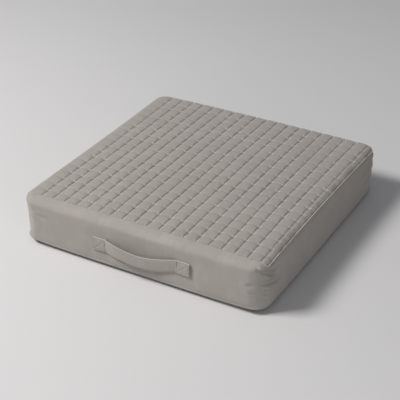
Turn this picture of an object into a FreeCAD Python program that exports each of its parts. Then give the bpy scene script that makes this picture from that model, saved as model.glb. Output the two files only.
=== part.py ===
import FreeCAD, Part
import os

Vector = FreeCAD.Vector

# A square booster seat pad: a block of foam in a zipped cover with a quilted top and a carry strap.
# Millimetres. The origin is the centre of the underside, +Z is up, and the carry strap faces -Y.

# The pad as a whole
width = 500.0
depth = 500.0
height = 100.0
corner_radius = 26.0
top_edge_radius = 12.0
bottom_edge_radius = 10.0

# The cover's cloth and the layers quilted to the underside of its top panel
cloth_thickness = 1.2
wadding_thickness = 2.8
backing_thickness = 0.6

# Seams. The top panel rolls over the left, right and back edges and stops short of the front one,
# where the side band wraps up over the edge instead.
top_seam_height = 94.8
bottom_seam_height = 8.0
front_seam_y = -232.0
back_join_x = 220.0
seam_gap = 0.4
thread_depth_from = 0.3
thread_depth_to = 0.9
thread_width = 0.5

# Quilting: two sets of parallel rows that make square cells
cell = 25.0
first_long_row_x = -215.0
long_rows = 19
first_cross_row_y = -212.5
cross_rows = 19
quilting_thread = 0.4
row_start_gap = 2.0

# How much higher than the seam the front of the side band starts to wrap over the edge
wrap_overlap = 1.0

# Foam block, held a little inside the cover, and further in at the back to leave the zip room
foam_side_gap = 2.4
foam_back_gap = 4.6
foam_bottom_gap = 1.5
foam_top_gap = 4.8
foam_corner_radius = 24.0
foam_top_radius = 16.0
foam_bottom_radius = 9.0

# Zip along the middle of the back
zip_z = 50.0
zip_opening = 12.0
topstitch_from_fold = 4.0
zip_half_length = back_join_x - seam_gap
tape_thickness = 0.7
tape_gap = 0.2
tape_reach = 16.0
coil_split = 1.4
coil_width = 2.7
coil_depth = 2.0
coil_half_length = 212.0
edge_rounding = 0.4
stop_length = 2.0
slider_length = 11.0
slider_half_width = 4.7
slider_closed_x = 205.0
slider_plate = 1.1
slider_nose_taper = 0.8
slider_web_tail = 2.5
slider_web_nose = 4.0
slider_flange_depth = 1.8
slider_flange_wall = 0.7
slider_clearance = 0.4
bail_half_length = 3.5
bail_bar = 1.0
bail_height = 2.6
bail_half_width = 0.7
cut_margin = 1.0
tab_thickness = 1.0
tab_lift = 0.3
tab_length = 22.0
tab_eye_length = 4.5
tab_eye_half_width = 1.2
tab_neck_length = 6.5
tab_taper_length = 19.0
tab_corner_cut = 2.0
tab_neck_half_width = 2.4
tab_end_half_width = 3.4

# Carry strap on the front: two folded ends sewn down flat, and the free span between them.
# The right end is sewn on a little higher than the left one.
strap_width = 26.0
strap_thickness = 2.2
strap_centre_x = 10.0
strap_left_z = 35.0
strap_right_z = 39.0
strap_bow = 9.0
strap_droop = 8.0
free_span = 144.0
end_length = 28.0
end_thickness = 3.6
strap_to_end = 0.4
strap_stand_off = 0.9
end_to_band = 0.1
stitch_inset = 3.0
stitch_width = 0.7

# Blank care label, sewn into the bottom seam at the back
label_width = 35.0
label_height = 28.0
label_thickness = 0.5
label_centre_x = -170.0
label_above_seam = 1.0

half_width = width / 2
half_depth = depth / 2
beyond = 20.0
tiny = 1e-4


def box(x_low, x_high, y_low, y_high, z_low, z_high):
    """A box between two corners."""
    corner = Vector(x_low, y_low, z_low)
    return Part.makeBox(x_high - x_low, y_high - y_low, z_high - z_low, corner)


def round_level_edges(solid, z, radius):
    """Rounds every edge that lies in the level plane at z."""
    edges = [e for e in solid.Edges if all(abs(v.Z - z) < tiny for v in e.Vertexes)]
    return solid.makeFillet(radius, edges)


def soft_block(x, y_low, y_high, z_low, z_high, corner, top, bottom):
    """A cushion's block, x either side of the centre, with round upright corners and round level edges."""
    block = box(-x, x, y_low, y_high, z_low, z_high)
    upright = [e for e in block.Edges if abs(e.Vertexes[0].Z - e.Vertexes[1].Z) > tiny]
    block = block.makeFillet(corner, upright)
    block = round_level_edges(block, z_high, top)
    return round_level_edges(block, z_low, bottom)


def pad_inside(inset):
    """The pad's outer shape, drawn in by the inset all round."""
    return soft_block(
        half_width - inset,
        -half_depth + inset,
        half_depth - inset,
        inset,
        height - inset,
        corner_radius - inset,
        top_edge_radius - inset,
        bottom_edge_radius - inset,
    )


def skin(outer, inner):
    """The closed skin between two depths below the pad's outer surface."""
    return pad_inside(outer).cut(pad_inside(inner))


def everywhere(z_low, z_high):
    """A slab that spans the whole pad between two heights."""
    x = half_width + beyond
    y = half_depth + beyond
    return box(-x, x, -y, y, z_low, z_high)


def quilted_layers():
    """The top panel's face cloth, its wadding and the backing that the quilting holds together."""
    x = half_width + beyond
    region = box(
        -x, x, front_seam_y + seam_gap, half_depth + beyond,
        top_seam_height + seam_gap, height + beyond,
    )
    under_cloth = cloth_thickness
    under_wadding = under_cloth + wadding_thickness
    return {
        "top_face_fabric": skin(0, under_cloth).common(region),
        "quilt_wadding": skin(under_cloth, under_wadding).common(region),
        "quilt_backing": skin(under_wadding, under_wadding + backing_thickness).common(region),
    }


def quilting_rows():
    """Straight rows of thread on the flat of the top, the crosswise set lying over the lengthwise one."""
    flat_x = half_width - top_edge_radius
    flat_y = half_depth - top_edge_radius
    half = quilting_thread / 2
    lengthwise = []
    for row in range(long_rows):
        x = first_long_row_x + row * cell
        lengthwise.append(
            box(x - half, x + half, front_seam_y + row_start_gap, flat_y, height, height + quilting_thread)
        )
    crosswise = []
    for row in range(cross_rows):
        y = first_cross_row_y + row * cell
        crosswise.append(
            box(-flat_x, flat_x, y - half, y + half, height + quilting_thread, height + 2 * quilting_thread)
        )
    return {
        "quilting_rows_lengthwise": Part.makeCompound(lengthwise),
        "quilting_rows_crosswise": Part.makeCompound(crosswise),
    }


def band_and_bottom():
    """The side band round the front and sides, the strips either side of the zip, and the bottom."""
    cloth = skin(0, cloth_thickness)
    x = half_width + beyond
    y = half_depth + beyond
    low = bottom_seam_height + seam_gap
    high = top_seam_height - seam_gap
    upright = everywhere(low, high)
    over_front_edge = box(-x, x, -y, front_seam_y - seam_gap, high - wrap_overlap, height + beyond)
    band_join = back_join_x + seam_gap
    back = box(-band_join, band_join, 0, y, 0, height)
    strip = back_join_x - seam_gap
    upper = box(-strip, strip, 0, y, zip_z + zip_opening / 2, high)
    lower = box(-strip, strip, 0, y, low, zip_z - zip_opening / 2)
    return {
        "side_band": cloth.common(upright.fuse(over_front_edge)).cut(back),
        "back_band_upper": cloth.common(upper),
        "back_band_lower": cloth.common(lower),
        "bottom_panel": cloth.common(everywhere(-beyond, bottom_seam_height - seam_gap)),
    }


def seam_threads():
    """The sewing thread in each seam, half way through the cloth's thickness."""
    line = skin(thread_depth_from, thread_depth_to)
    half = thread_width / 2
    x = half_width + beyond
    y = half_depth + beyond
    round_three_sides = box(-x, x, front_seam_y - half, y, top_seam_height - half, top_seam_height + half)
    along_front = box(
        -x, x, front_seam_y - half, front_seam_y + half, top_seam_height - half, height + beyond
    )
    low = bottom_seam_height
    high = top_seam_height
    joins = []
    for side in (-1, 1):
        join_x = side * back_join_x
        slot = box(join_x - half, join_x + half, 0, y, low + seam_gap, high - seam_gap)
        joins.append(line.common(slot))
    return {
        "top_seam_thread": line.common(round_three_sides.fuse(along_front)),
        "bottom_seam_thread": line.common(everywhere(low - half, low + half)),
        "back_join_threads": Part.makeCompound(joins),
    }


def foam():
    """The foam block, with its top edges rounded to fill the rolled edge of the quilted panel."""
    return {
        "foam_core": soft_block(
            half_width - foam_side_gap,
            -half_depth + foam_side_gap,
            half_depth - foam_back_gap,
            foam_bottom_gap,
            height - foam_top_gap,
            foam_corner_radius,
            foam_top_radius,
            foam_bottom_radius,
        )
    }


# Depths of the zip's layers, from the inside of the back strips outwards
tape_outer_y = half_depth - cloth_thickness - tape_gap
tape_inner_y = tape_outer_y - tape_thickness
coil_outer_y = tape_outer_y + coil_depth
slider_top_y = coil_outer_y + slider_clearance + slider_plate
coil_from = coil_split / 2
coil_to = coil_from + coil_width


def mirrored_about_zip(solid):
    """The same solid on the other side of the zip's middle line."""
    return solid.mirror(Vector(0, 0, zip_z), Vector(0, 0, 1))


def zip_chain():
    """Two tapes, each with a nylon coil along its edge, and the metal stops at the ends of the coils."""
    tape = box(
        -zip_half_length, zip_half_length, tape_inner_y, tape_outer_y,
        zip_z + coil_from, zip_z + tape_reach,
    )
    coil = box(
        -coil_half_length, coil_half_length, tape_outer_y, coil_outer_y,
        zip_z + coil_from, zip_z + coil_to,
    )
    outer_edges = [
        e for e in coil.Edges
        if abs(e.Length - 2 * coil_half_length) < tiny
        and all(abs(v.Y - coil_outer_y) < tiny for v in e.Vertexes)
    ]
    coil = coil.makeFillet(coil_depth * edge_rounding, outer_edges)
    stop_from = coil_half_length + coil_split / 4
    top_stop = box(
        stop_from, stop_from + stop_length, tape_outer_y, coil_outer_y,
        zip_z + coil_from, zip_z + coil_to,
    )
    bottom_stop = box(
        -stop_from - stop_length, -stop_from, tape_outer_y, coil_outer_y,
        zip_z - coil_to, zip_z + coil_to,
    )
    return {
        "zip_tape_upper": tape,
        "zip_tape_lower": mirrored_about_zip(tape),
        "zip_coil_upper": coil,
        "zip_coil_lower": mirrored_about_zip(coil),
        "zip_top_stops": Part.makeCompound([top_stop, mirrored_about_zip(top_stop)]),
        "zip_bottom_stop": bottom_stop,
    }


def slider_plate_at(y_low, y_high, nose_half, tail_half):
    """One plate of the slider: wide at the nose, which leads as the zip closes, and narrower at the tail."""
    x = slider_length / 2
    shoulder = slider_length / 6
    points = [
        Vector(-x, y_low, -tail_half),
        Vector(-shoulder, y_low, -tail_half),
        Vector(shoulder, y_low, -nose_half),
        Vector(x, y_low, -nose_half * slider_nose_taper),
        Vector(x, y_low, nose_half * slider_nose_taper),
        Vector(shoulder, y_low, nose_half),
        Vector(-shoulder, y_low, tail_half),
        Vector(-x, y_low, tail_half),
    ]
    face = Part.Face(Part.makePolygon(points + points[:1]))
    return face.extrude(Vector(0, y_high - y_low, 0))


def zip_slider():
    """Two plates joined by the web between the coils, two side flanges, and the bail for the pull."""
    inner_top = tape_inner_y - slider_clearance
    outer_low = slider_top_y - slider_plate
    tail = coil_to + slider_clearance
    body = slider_plate_at(outer_low, slider_top_y, slider_half_width, tail)
    body = body.fuse(slider_plate_at(inner_top - slider_plate, inner_top, slider_half_width, tail))
    web = coil_from / 2
    body = body.fuse(box(-slider_web_tail, slider_web_nose, inner_top - tiny, outer_low + tiny, -web, web))
    flange_end = slider_length / 6
    for side in (-1, 1):
        z_far = side * slider_half_width
        z_near = side * (slider_half_width - slider_flange_wall)
        body = body.fuse(
            box(-flange_end, flange_end, outer_low - slider_flange_depth, outer_low + tiny,
                min(z_far, z_near), max(z_far, z_near))
        )
    bail = box(
        -bail_half_length, bail_half_length, slider_top_y - tiny, slider_top_y + bail_height,
        -bail_half_width, bail_half_width,
    )
    under = bail_half_length - bail_bar
    clear = box(
        -under, under, slider_top_y, slider_top_y + bail_height - bail_bar,
        -bail_half_width - cut_margin, bail_half_width + cut_margin,
    )
    body = body.fuse(bail.cut(clear)).removeSplitter()
    body.translate(Vector(slider_closed_x, 0, zip_z))
    return {"zip_slider": body}


def zip_pull_tab():
    """A flat metal tab whose eye is held by the bail. Its cross bar is the axis that it swings about."""
    low = slider_top_y + tab_lift
    high = low + tab_thickness
    points = [
        Vector(0, low, -tab_neck_half_width),
        Vector(-tab_neck_length, low, -tab_neck_half_width),
        Vector(-tab_taper_length, low, -tab_end_half_width),
        Vector(-tab_length, low, -tab_end_half_width + tab_corner_cut),
        Vector(-tab_length, low, tab_end_half_width - tab_corner_cut),
        Vector(-tab_taper_length, low, tab_end_half_width),
        Vector(-tab_neck_length, low, tab_neck_half_width),
        Vector(0, low, tab_neck_half_width),
    ]
    plate = Part.Face(Part.makePolygon(points + points[:1])).extrude(Vector(0, tab_thickness, 0))
    eye = box(
        -tab_eye_length, cut_margin, low - cut_margin, high + cut_margin,
        -tab_eye_half_width, tab_eye_half_width,
    )
    bar = Part.makeCylinder(
        tab_thickness / 2,
        2 * tab_neck_half_width,
        Vector(0, (low + high) / 2, -tab_neck_half_width),
        Vector(0, 0, 1),
    )
    tab = plate.cut(eye).fuse(bar).removeSplitter()
    tab.translate(Vector(slider_closed_x, 0, zip_z))
    return {"zip_pull_tab": tab}


def zip_topstitching():
    """One straight row of stitches on each back strip, which holds the zip's tape behind it."""
    rows = []
    for side in (-1, 1):
        z = zip_z + side * (zip_opening / 2 + topstitch_from_fold)
        rows.append(
            box(-zip_half_length, zip_half_length, half_depth, half_depth + quilting_thread,
                z - quilting_thread / 2, z + quilting_thread / 2)
        )
    return {"zip_topstitching": Part.makeCompound(rows)}


def arc_between(start, middle, end):
    """The edge of a circular arc through three points."""
    return Part.Arc(start, middle, end).toShape()


def bowed_strip(left, right, step, bow):
    """A face between two equal arcs. Each goes from left to right and swells by bow half way, and the
    second one lies a step away from the first."""
    middle = (left + right) / 2 + bow
    near_arc = arc_between(left, middle, right)
    far_arc = arc_between(left + step, middle + step, right + step)
    sides = [Part.makeLine(right, right + step), Part.makeLine(left, left + step)]
    return Part.Face(Part.Wire(Part.__sortEdges__([near_arc, far_arc, *sides])))


def handle_strap():
    """The free span. It bows out from the front face seen from above, and droops seen from the front."""
    left = strap_centre_x - free_span / 2 + strap_to_end
    right = strap_centre_x + free_span / 2 - strap_to_end
    inner_y = -half_depth - strap_stand_off
    from_above = bowed_strip(
        Vector(left, inner_y, 0),
        Vector(right, inner_y, 0),
        Vector(0, -strap_thickness, 0),
        Vector(0, -strap_bow, 0),
    ).extrude(Vector(0, 0, height))
    from_front = bowed_strip(
        Vector(left, -half_depth - 2 * beyond, strap_left_z),
        Vector(right, -half_depth - 2 * beyond, strap_right_z),
        Vector(0, 0, strap_width),
        Vector(0, 0, -strap_droop),
    ).extrude(Vector(0, 2 * beyond, 0))
    return {"handle_strap": from_above.common(from_front)}


def end_stitching(left, right, low, high, y):
    """A box of stitches with a cross in it, as one flat solid on the face of a strap end."""
    bars = [
        box(left, right, y - quilting_thread, y, low, low + stitch_width),
        box(left, right, y - quilting_thread, y, high - stitch_width, high),
        box(left, left + stitch_width, y - quilting_thread, y, low, high),
        box(right - stitch_width, right, y - quilting_thread, y, low, high),
    ]
    for bottom, top in ((left, right), (right, left)):
        shift = stitch_width if top > bottom else -stitch_width
        points = [
            Vector(bottom, y, low),
            Vector(bottom + shift, y, low),
            Vector(top, y, high),
            Vector(top - shift, y, high),
        ]
        face = Part.Face(Part.makePolygon(points + points[:1]))
        bars.append(face.extrude(Vector(0, -quilting_thread, 0)))
    stitches = bars[0]
    for bar in bars[1:]:
        stitches = stitches.fuse(bar)
    return stitches.removeSplitter()


def handle_ends():
    """The two folded ends of the strap, sewn flat on the side band, and the stitching on each."""
    made = {}
    face_y = -half_depth - end_to_band - end_thickness
    for name, side, low in (("left", -1, strap_left_z), ("right", 1, strap_right_z)):
        inner_x = strap_centre_x + side * free_span / 2
        outer_x = inner_x + side * end_length
        left = min(inner_x, outer_x)
        right = max(inner_x, outer_x)
        end = box(left, right, face_y, -half_depth - end_to_band, low, low + strap_width)
        folded_edges = [
            e for e in end.Edges
            if abs(e.Length - strap_width) < tiny
            and all(abs(v.Y - face_y) < tiny and abs(v.X - outer_x) < tiny for v in e.Vertexes)
        ]
        made["handle_end_" + name] = end.makeFillet(end_thickness * edge_rounding, folded_edges)
        made["handle_stitching_" + name] = end_stitching(
            left + stitch_inset,
            right - stitch_inset,
            low + stitch_inset,
            low + strap_width - stitch_inset,
            face_y,
        )
    return made


def care_label():
    """A blank woven label that stands against the lower back strip, caught in the bottom seam."""
    return {
        "care_label": box(
            label_centre_x - label_width / 2,
            label_centre_x + label_width / 2,
            half_depth + end_to_band,
            half_depth + end_to_band + label_thickness,
            bottom_seam_height + label_above_seam,
            bottom_seam_height + label_above_seam + label_height,
        )
    }


def main():
    """Makes every node and writes each to its own file."""
    groups = [
        foam(),
        quilted_layers(),
        quilting_rows(),
        band_and_bottom(),
        seam_threads(),
        zip_chain(),
        zip_slider(),
        zip_pull_tab(),
        zip_topstitching(),
        handle_strap(),
        handle_ends(),
        care_label(),
    ]
    os.makedirs("parts", exist_ok=True)
    for group in groups:
        for node, shape in group.items():
            shape.exportStep(os.path.join("parts", node + ".step"))
            solids = len(shape.Solids)
            print(f"{node}: {solids} solid(s), {shape.Volume / 1000:.2f} cm3, valid {shape.isValid()}")


main()
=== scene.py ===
import math
import bmesh
import bpy
import numpy as np
from mathutils import Matrix, Vector


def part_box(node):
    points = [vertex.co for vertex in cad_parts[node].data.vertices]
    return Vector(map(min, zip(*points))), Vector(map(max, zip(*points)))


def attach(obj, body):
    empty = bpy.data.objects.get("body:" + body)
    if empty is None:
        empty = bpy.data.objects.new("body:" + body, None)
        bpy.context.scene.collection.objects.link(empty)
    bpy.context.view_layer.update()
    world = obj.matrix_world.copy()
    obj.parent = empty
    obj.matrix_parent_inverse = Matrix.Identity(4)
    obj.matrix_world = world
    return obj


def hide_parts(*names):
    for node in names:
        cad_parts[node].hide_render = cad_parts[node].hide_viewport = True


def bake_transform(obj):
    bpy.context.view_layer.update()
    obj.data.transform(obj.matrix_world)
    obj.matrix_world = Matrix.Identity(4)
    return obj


# A square quilted seat pad: a foam block in a zipped taupe velvet cover with a carry strap. Every
# piece is built as cloth in the CAD frame, in metres: +Z up, and the strap faces -Y. Cloth
# coordinates: s and t lie flat over the top or the bottom; a runs along the side band from its back
# left join, and q up it from the bottom seam. A plain number beside MM is a height in millimetres.

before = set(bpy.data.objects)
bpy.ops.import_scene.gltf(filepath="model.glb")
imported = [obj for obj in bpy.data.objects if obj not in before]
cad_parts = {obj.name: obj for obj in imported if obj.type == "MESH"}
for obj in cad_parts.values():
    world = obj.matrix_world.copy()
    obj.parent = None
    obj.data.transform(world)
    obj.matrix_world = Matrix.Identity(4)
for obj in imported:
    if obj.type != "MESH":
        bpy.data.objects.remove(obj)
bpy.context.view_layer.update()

MM = 0.001
TINY = 1e-9

# ---------------------------------------------------------------- measures

HALF, _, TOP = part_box("side_band")[1]
CORNER = 26 * MM
TOP_ROLL = 12 * MM
BOTTOM_ROLL = 10 * MM
HALF_THREAD = 0.25 * MM
top_thread_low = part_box("top_seam_thread")[0]
TOP_SEAM_Z = top_thread_low.z + HALF_THREAD
FRONT_SEAM_Y = top_thread_low.y + HALF_THREAD
BOTTOM_SEAM_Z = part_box("bottom_seam_thread")[0].z + HALF_THREAD
JOIN_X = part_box("back_join_threads")[1].x - HALF_THREAD

CELL = 25 * MM
FIRST_LONG_ROW, FIRST_CROSS_ROW, ROW_COUNT = -215 * MM, -212.5 * MM, 19
LONG_ROWS = [FIRST_LONG_ROW + CELL * k for k in range(ROW_COUNT)]
CROSS_ROWS = [FIRST_CROSS_ROW + CELL * k for k in range(ROW_COUNT)]

CORNER_CENTRE = HALF - CORNER
CORE_CORNER = CORNER - TOP_ROLL
ROLL_LENGTH = TOP_ROLL * math.pi / 2
SEAM_TURN = math.acos(1 - (TOP - TOP_SEAM_Z) / TOP_ROLL)
PANEL_HALF = HALF - TOP_ROLL + TOP_ROLL * SEAM_TURN
PANEL_CORNER = PANEL_HALF - CORNER_CENTRE
WALL = TOP - TOP_ROLL - BOTTOM_SEAM_Z
BOTTOM_REACH = HALF - BOTTOM_ROLL + BOTTOM_ROLL * math.acos(1 - BOTTOM_SEAM_Z / BOTTOM_ROLL)

CLOTH = 1.2 * MM
TUCK = 3.2 * MM
PATH_STEP = 1.5 * MM

# Sewing: the pitch of the stitches, a stitch's length, and its thread's radius, in mm.
STITCHES = {
    "quilting": (3.1, 2.5, 0.28),
    "seam": (3.4, 2.6, 0.3),
    "zip": (3.2, 2.6, 0.3),
    "strap_edge": (3.0, 2.3, 0.26),
    "strap_end": (2.7, 2.2, 0.27),
}


def smooth(t):
    """0 below 0, 1 above 1, and an even curve between."""
    t = np.clip(t, 0, 1)
    return t * t * (3 - 2 * t)


def bump(distance, width):
    """1 at no distance, falling away over the width."""
    return np.exp(-((distance / width) ** 2))


def soft_noise(a, b, size, seed):
    """Smooth noise from -1 to 1 over the plane (a, b), with features about size across. Each use
    has its seed."""
    cells = 64
    table = np.random.default_rng(seed).uniform(-1, 1, (cells, cells))
    x = np.asarray(a) / size
    y = np.asarray(b) / size
    column = np.floor(x).astype(int)
    row = np.floor(y).astype(int)
    fx = smooth(x - column)
    fy = smooth(y - row)

    def at(i, j):
        return table[(row + j) % cells, (column + i) % cells]

    near = at(0, 0) * (1 - fx) + at(1, 0) * fx
    far = at(0, 1) * (1 - fx) + at(1, 1) * fx
    return near * (1 - fy) + far * fy


# ---------------------------------------------------------------- the pad's soft outer form


# The cover's slack, in mm: how far its faces pull in above and belly out below the edge's middle,
# how far the top crowns and its corners drop, and how far the bottom edge lifts at the corners and
# draws in under.
SIDE_PULL, SIDE_BELLY = 3.5, 2.5
FRONT_PULL, FRONT_BELLY = 2.0, 2.2
CROWN, CORNER_DROP = 2.2, 1.6
CORNER_LIFT = 5.0
UNDERCUT, UNDERCUT_HEIGHT = 5.5, 8.5


def soften(points):
    """Moves points of the plain form to where the slack cover has them."""
    p = np.array(points, float)
    u = np.clip(p[..., 0] / HALF, -1, 1)
    v = np.clip(p[..., 1] / HALF, -1, 1)
    w = np.clip(p[..., 2] / TOP * 2 - 1, -1, 1)
    away_from_back = 1 - smooth((p[..., 1] / HALF - 0.2) / 0.6)
    upper = smooth((w + 1) / 2)
    pull_x = (SIDE_PULL * upper - SIDE_BELLY * (1 - w * w)) * MM * (1 - v * v)
    pull_y = (FRONT_PULL * upper - FRONT_BELLY * (1 - w * w)) * MM * (1 - u * u) * away_from_back
    p[..., 0] -= pull_x * u * np.abs(u)
    p[..., 1] -= pull_y * v * np.abs(v)
    crown = CROWN * (1 - u * u) * (1 - v * v) - CORNER_DROP * (u * v) ** 4
    p[..., 2] += crown * MM * smooth((w - 0.2) / 0.8)
    p[..., 2] += CORNER_LIFT * MM * (u * v) ** 6 * smooth(-w)
    under = UNDERCUT * MM * smooth(1 - points[..., 2] / (UNDERCUT_HEIGHT * MM))
    p[..., 0] -= under * np.sign(u) * np.abs(u) ** 10
    p[..., 1] -= under * np.sign(v) * np.abs(v) ** 10
    return p


def rolled(s, t, roll, core_corner, level, up):
    """Lays flat points (s, t) over a level face whose edges roll away. Returns places and
    normals."""
    centre = HALF - roll - core_corner
    ax = np.abs(s)
    ay = np.abs(t)
    in_corner = (ax > centre) & (ay > centre)
    rho = np.hypot(ax - centre, ay - centre)
    rho = np.where(rho < TINY, TINY, rho)
    by_x = ax >= ay
    nx = np.where(in_corner, (ax - centre) / rho, np.where(by_x, 1.0, 0.0))
    ny = np.where(in_corner, (ay - centre) / rho, np.where(by_x, 0.0, 1.0))
    beyond = np.where(in_corner, rho - core_corner, np.maximum(ax, ay) - centre - core_corner)
    beyond = np.maximum(beyond, 0)
    turn = np.minimum(beyond / roll, math.pi / 2)
    pull = beyond - roll * np.sin(turn)
    nx = nx * np.sign(s)
    ny = ny * np.sign(t)
    z = level - up * roll * (1 - np.cos(turn))
    places = np.stack([s - nx * pull, t - ny * pull, z], -1)
    normals = np.stack([nx * np.sin(turn), ny * np.sin(turn), up * np.cos(turn)], -1)
    return places, normals


def square_to_round(s, t, centre, radius, fronts=True):
    """Draws the square corners of a flat grid in to round ones."""
    a = np.clip(np.abs(s) - centre, 0, radius)
    b = np.clip(np.abs(t) - centre, 0, radius)
    both = (a > 0) & (b > 0) & (fronts | (t > 0))
    a2 = a * np.sqrt(1 - b * b / (2 * radius * radius))
    b2 = b * np.sqrt(1 - a * a / (2 * radius * radius))
    s2 = np.where(both, np.sign(s) * (centre + a2), s)
    t2 = np.where(both, np.sign(t) * (centre + b2), t)
    return s2, t2


def wall_point(foot, outward, q):
    """A place on the pad's side, q up along the cloth from the bottom seam, over the top roll and
    inwards."""
    in_roll = np.clip(q - WALL, 0, ROLL_LENGTH)
    turn = in_roll / TOP_ROLL
    inwards = TOP_ROLL * (1 - np.cos(turn)) + np.maximum(q - WALL - ROLL_LENGTH, 0)
    z = BOTTOM_SEAM_Z + np.minimum(q, WALL) + TOP_ROLL * np.sin(turn)
    places = np.concatenate([foot - outward * inwards[..., None], z[..., None]], -1)
    flat = np.cos(turn)[..., None]
    normals = np.concatenate([outward * flat, np.sin(turn)[..., None]], -1)
    return places, normals


def wall_top(outward):
    """How far up the cloth the top seam lies: just over the edge at the sides, well over it in
    front."""
    to_front = np.maximum(-outward[..., 1], TINY)
    reach = np.minimum(PANEL_CORNER, (-CORNER_CENTRE - FRONT_SEAM_Y) / to_front)
    return WALL + ROLL_LENGTH + CORE_CORNER - reach


# ---------------------------------------------------------------- meshes


def make_piece(name, vertices, faces, uv=None):
    """A smooth mesh object from arrays, with its flat cloth coordinates as a UV map."""
    mesh = bpy.data.meshes.new(name)
    faces = faces.tolist() if isinstance(faces, np.ndarray) else faces
    mesh.from_pydata(np.reshape(vertices, (-1, 3)).tolist(), [], faces)
    mesh.polygons.foreach_set("use_smooth", np.ones(len(mesh.polygons), bool))
    if uv is not None:
        layer = mesh.uv_layers.new(name="cloth")
        corners = np.zeros(len(mesh.loops), int)
        mesh.loops.foreach_get("vertex_index", corners)
        layer.data.foreach_set("uv", np.reshape(uv, (-1, 2))[corners].astype(np.float32).ravel())
    mesh.update()
    piece = bpy.data.objects.new(name, mesh)
    bpy.context.scene.collection.objects.link(piece)
    return piece


def grid_faces(rows, columns, wrap=False):
    """Quads of a grid stored row after row. With wrap, the last column joins the first."""
    r = np.arange(rows - 1)[:, None]
    c = np.arange(columns if wrap else columns - 1)[None, :]
    n = (c + 1) % columns
    quads = np.stack(
        [r * columns + c, r * columns + n, (r + 1) * columns + n, (r + 1) * columns + c], -1
    )
    return quads.reshape(-1, 4)


def mark(piece, name, values):
    """Stores a number at each vertex, for the material to read."""
    attribute = piece.data.attributes.new(name, "FLOAT", "POINT")
    attribute.data.foreach_set("value", np.asarray(values).ravel().astype(np.float32))


def thicken(piece, thickness):
    """Gives a one-sided cloth its thickness, inwards."""
    shell = piece.modifiers.new("thickness", "SOLIDIFY")
    shell.thickness = thickness
    shell.offset = -1
    return piece


def clustered(marks, steps):
    """Grid lines through every mark, closer together near the marks."""
    lines = [marks[0]]
    for start, end in zip(marks, marks[1:]):
        lines += [start + (end - start) * step for step in steps] + [end]
    return np.array(lines)


def between_marks(values, marks):
    """For each value, its share of the way through its interval, and that interval's width."""
    edges = np.array(marks)
    index = np.clip(np.searchsorted(edges, values, side="right") - 1, 0, len(edges) - 2)
    width = edges[index + 1] - edges[index]
    return (values - edges[index]) / width, width


def run_stitches(name, paths, kind):
    """Rows of sewing stitches as one mesh. A path is (points, normals), closely spaced along the
    cloth. A stitch is four rings: thick in the middle, and thin and sunk into the cloth at its
    ends."""
    pitch, length, radius = np.array(STITCHES[kind]) * MM
    along = np.array([-1.0, -0.55, 0.55, 1.0])
    size = np.array([0.35, 1.0, 1.0, 0.35])
    sink = np.array([-0.9, 0.15, 0.15, -0.9])
    rings, sides = len(along), 5
    around = np.arange(sides) * 2 * math.pi / sides
    vertices = []
    faces = []
    ring_faces = grid_faces(rings, sides, wrap=True).tolist()
    caps = [list(range(sides))[::-1], list(range((rings - 1) * sides, rings * sides))]
    for points, normals in paths:
        gaps = np.linalg.norm(np.diff(points, axis=0), axis=1)
        travelled = np.concatenate([[0], np.cumsum(gaps)])
        count = int(travelled[-1] / pitch)
        for number in range(count):
            middle = (number + 0.5) * pitch
            ends = [
                np.array([np.interp(middle + d, travelled, points[:, k]) for k in range(3)])
                for d in (-length / 2, 0, length / 2)
            ]
            up = np.array([np.interp(middle, travelled, normals[:, k]) for k in range(3)])
            ahead = ends[2] - ends[0]
            ahead /= np.linalg.norm(ahead) + TINY
            up -= ahead * (up @ ahead)
            up /= np.linalg.norm(up) + TINY
            aside = np.cross(ahead, up)
            centre = ends[1] + along[:, None] * ahead * length / 2 + sink[:, None] * up * radius
            ring = np.cos(around)[:, None] * aside + np.sin(around)[:, None] * up
            base = len(vertices) * rings * sides
            shape = centre[:, None, :] + size[:, None, None] * radius * ring
            vertices.append(shape.reshape(-1, 3))
            faces += [[base + i for i in face] for face in ring_faces + caps]
    return make_piece(name, np.concatenate(vertices), faces)


def sheet_piece(name, places, x, y, thickness):
    """Cloth over a grid of points. x and y are each point's place when the cloth lies flat."""
    piece = make_piece(name, places, grid_faces(*x.shape)[:, ::-1], np.stack([x, y], -1))
    return thicken(piece, thickness)


def loft(name, loops, rubbing_and_painted_highlight=None):
    """A closed skin over rings of points, each ring a cross-section. The flat end caps keep hard
    edges."""
    count, around = loops.shape[:2]
    middle = [loops[0].mean(0), loops[-1].mean(0)]
    vertices = np.concatenate([loops.reshape(-1, 3), middle])
    faces = grid_faces(count, around, wrap=True).tolist()
    start, end = count * around, count * around + 1
    last = (count - 1) * around
    for k in range(around):
        following = (k + 1) % around
        faces.append([start, following, k])
        faces.append([end, last + k, last + following])
    piece = make_piece(name, vertices, faces)
    # Paler edges for the material to read: on the strap, partly wear and partly painted highlight.
    if rubbing_and_painted_highlight is not None:
        mark(piece, "painted_highlight_and_rubbing", [*rubbing_and_painted_highlight.ravel(), 0, 0])
    shape = bmesh.new()
    shape.from_mesh(piece.data)
    bmesh.ops.recalc_face_normals(shape, faces=shape.faces)
    rims = [e for e in shape.edges if sorted(len(f.verts) for f in e.link_faces) == [3, 4]]
    bmesh.ops.split_edges(shape, edges=rims)
    shape.to_mesh(piece.data)
    shape.free()
    return piece


CLOTH_FRAMES = 10


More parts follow.
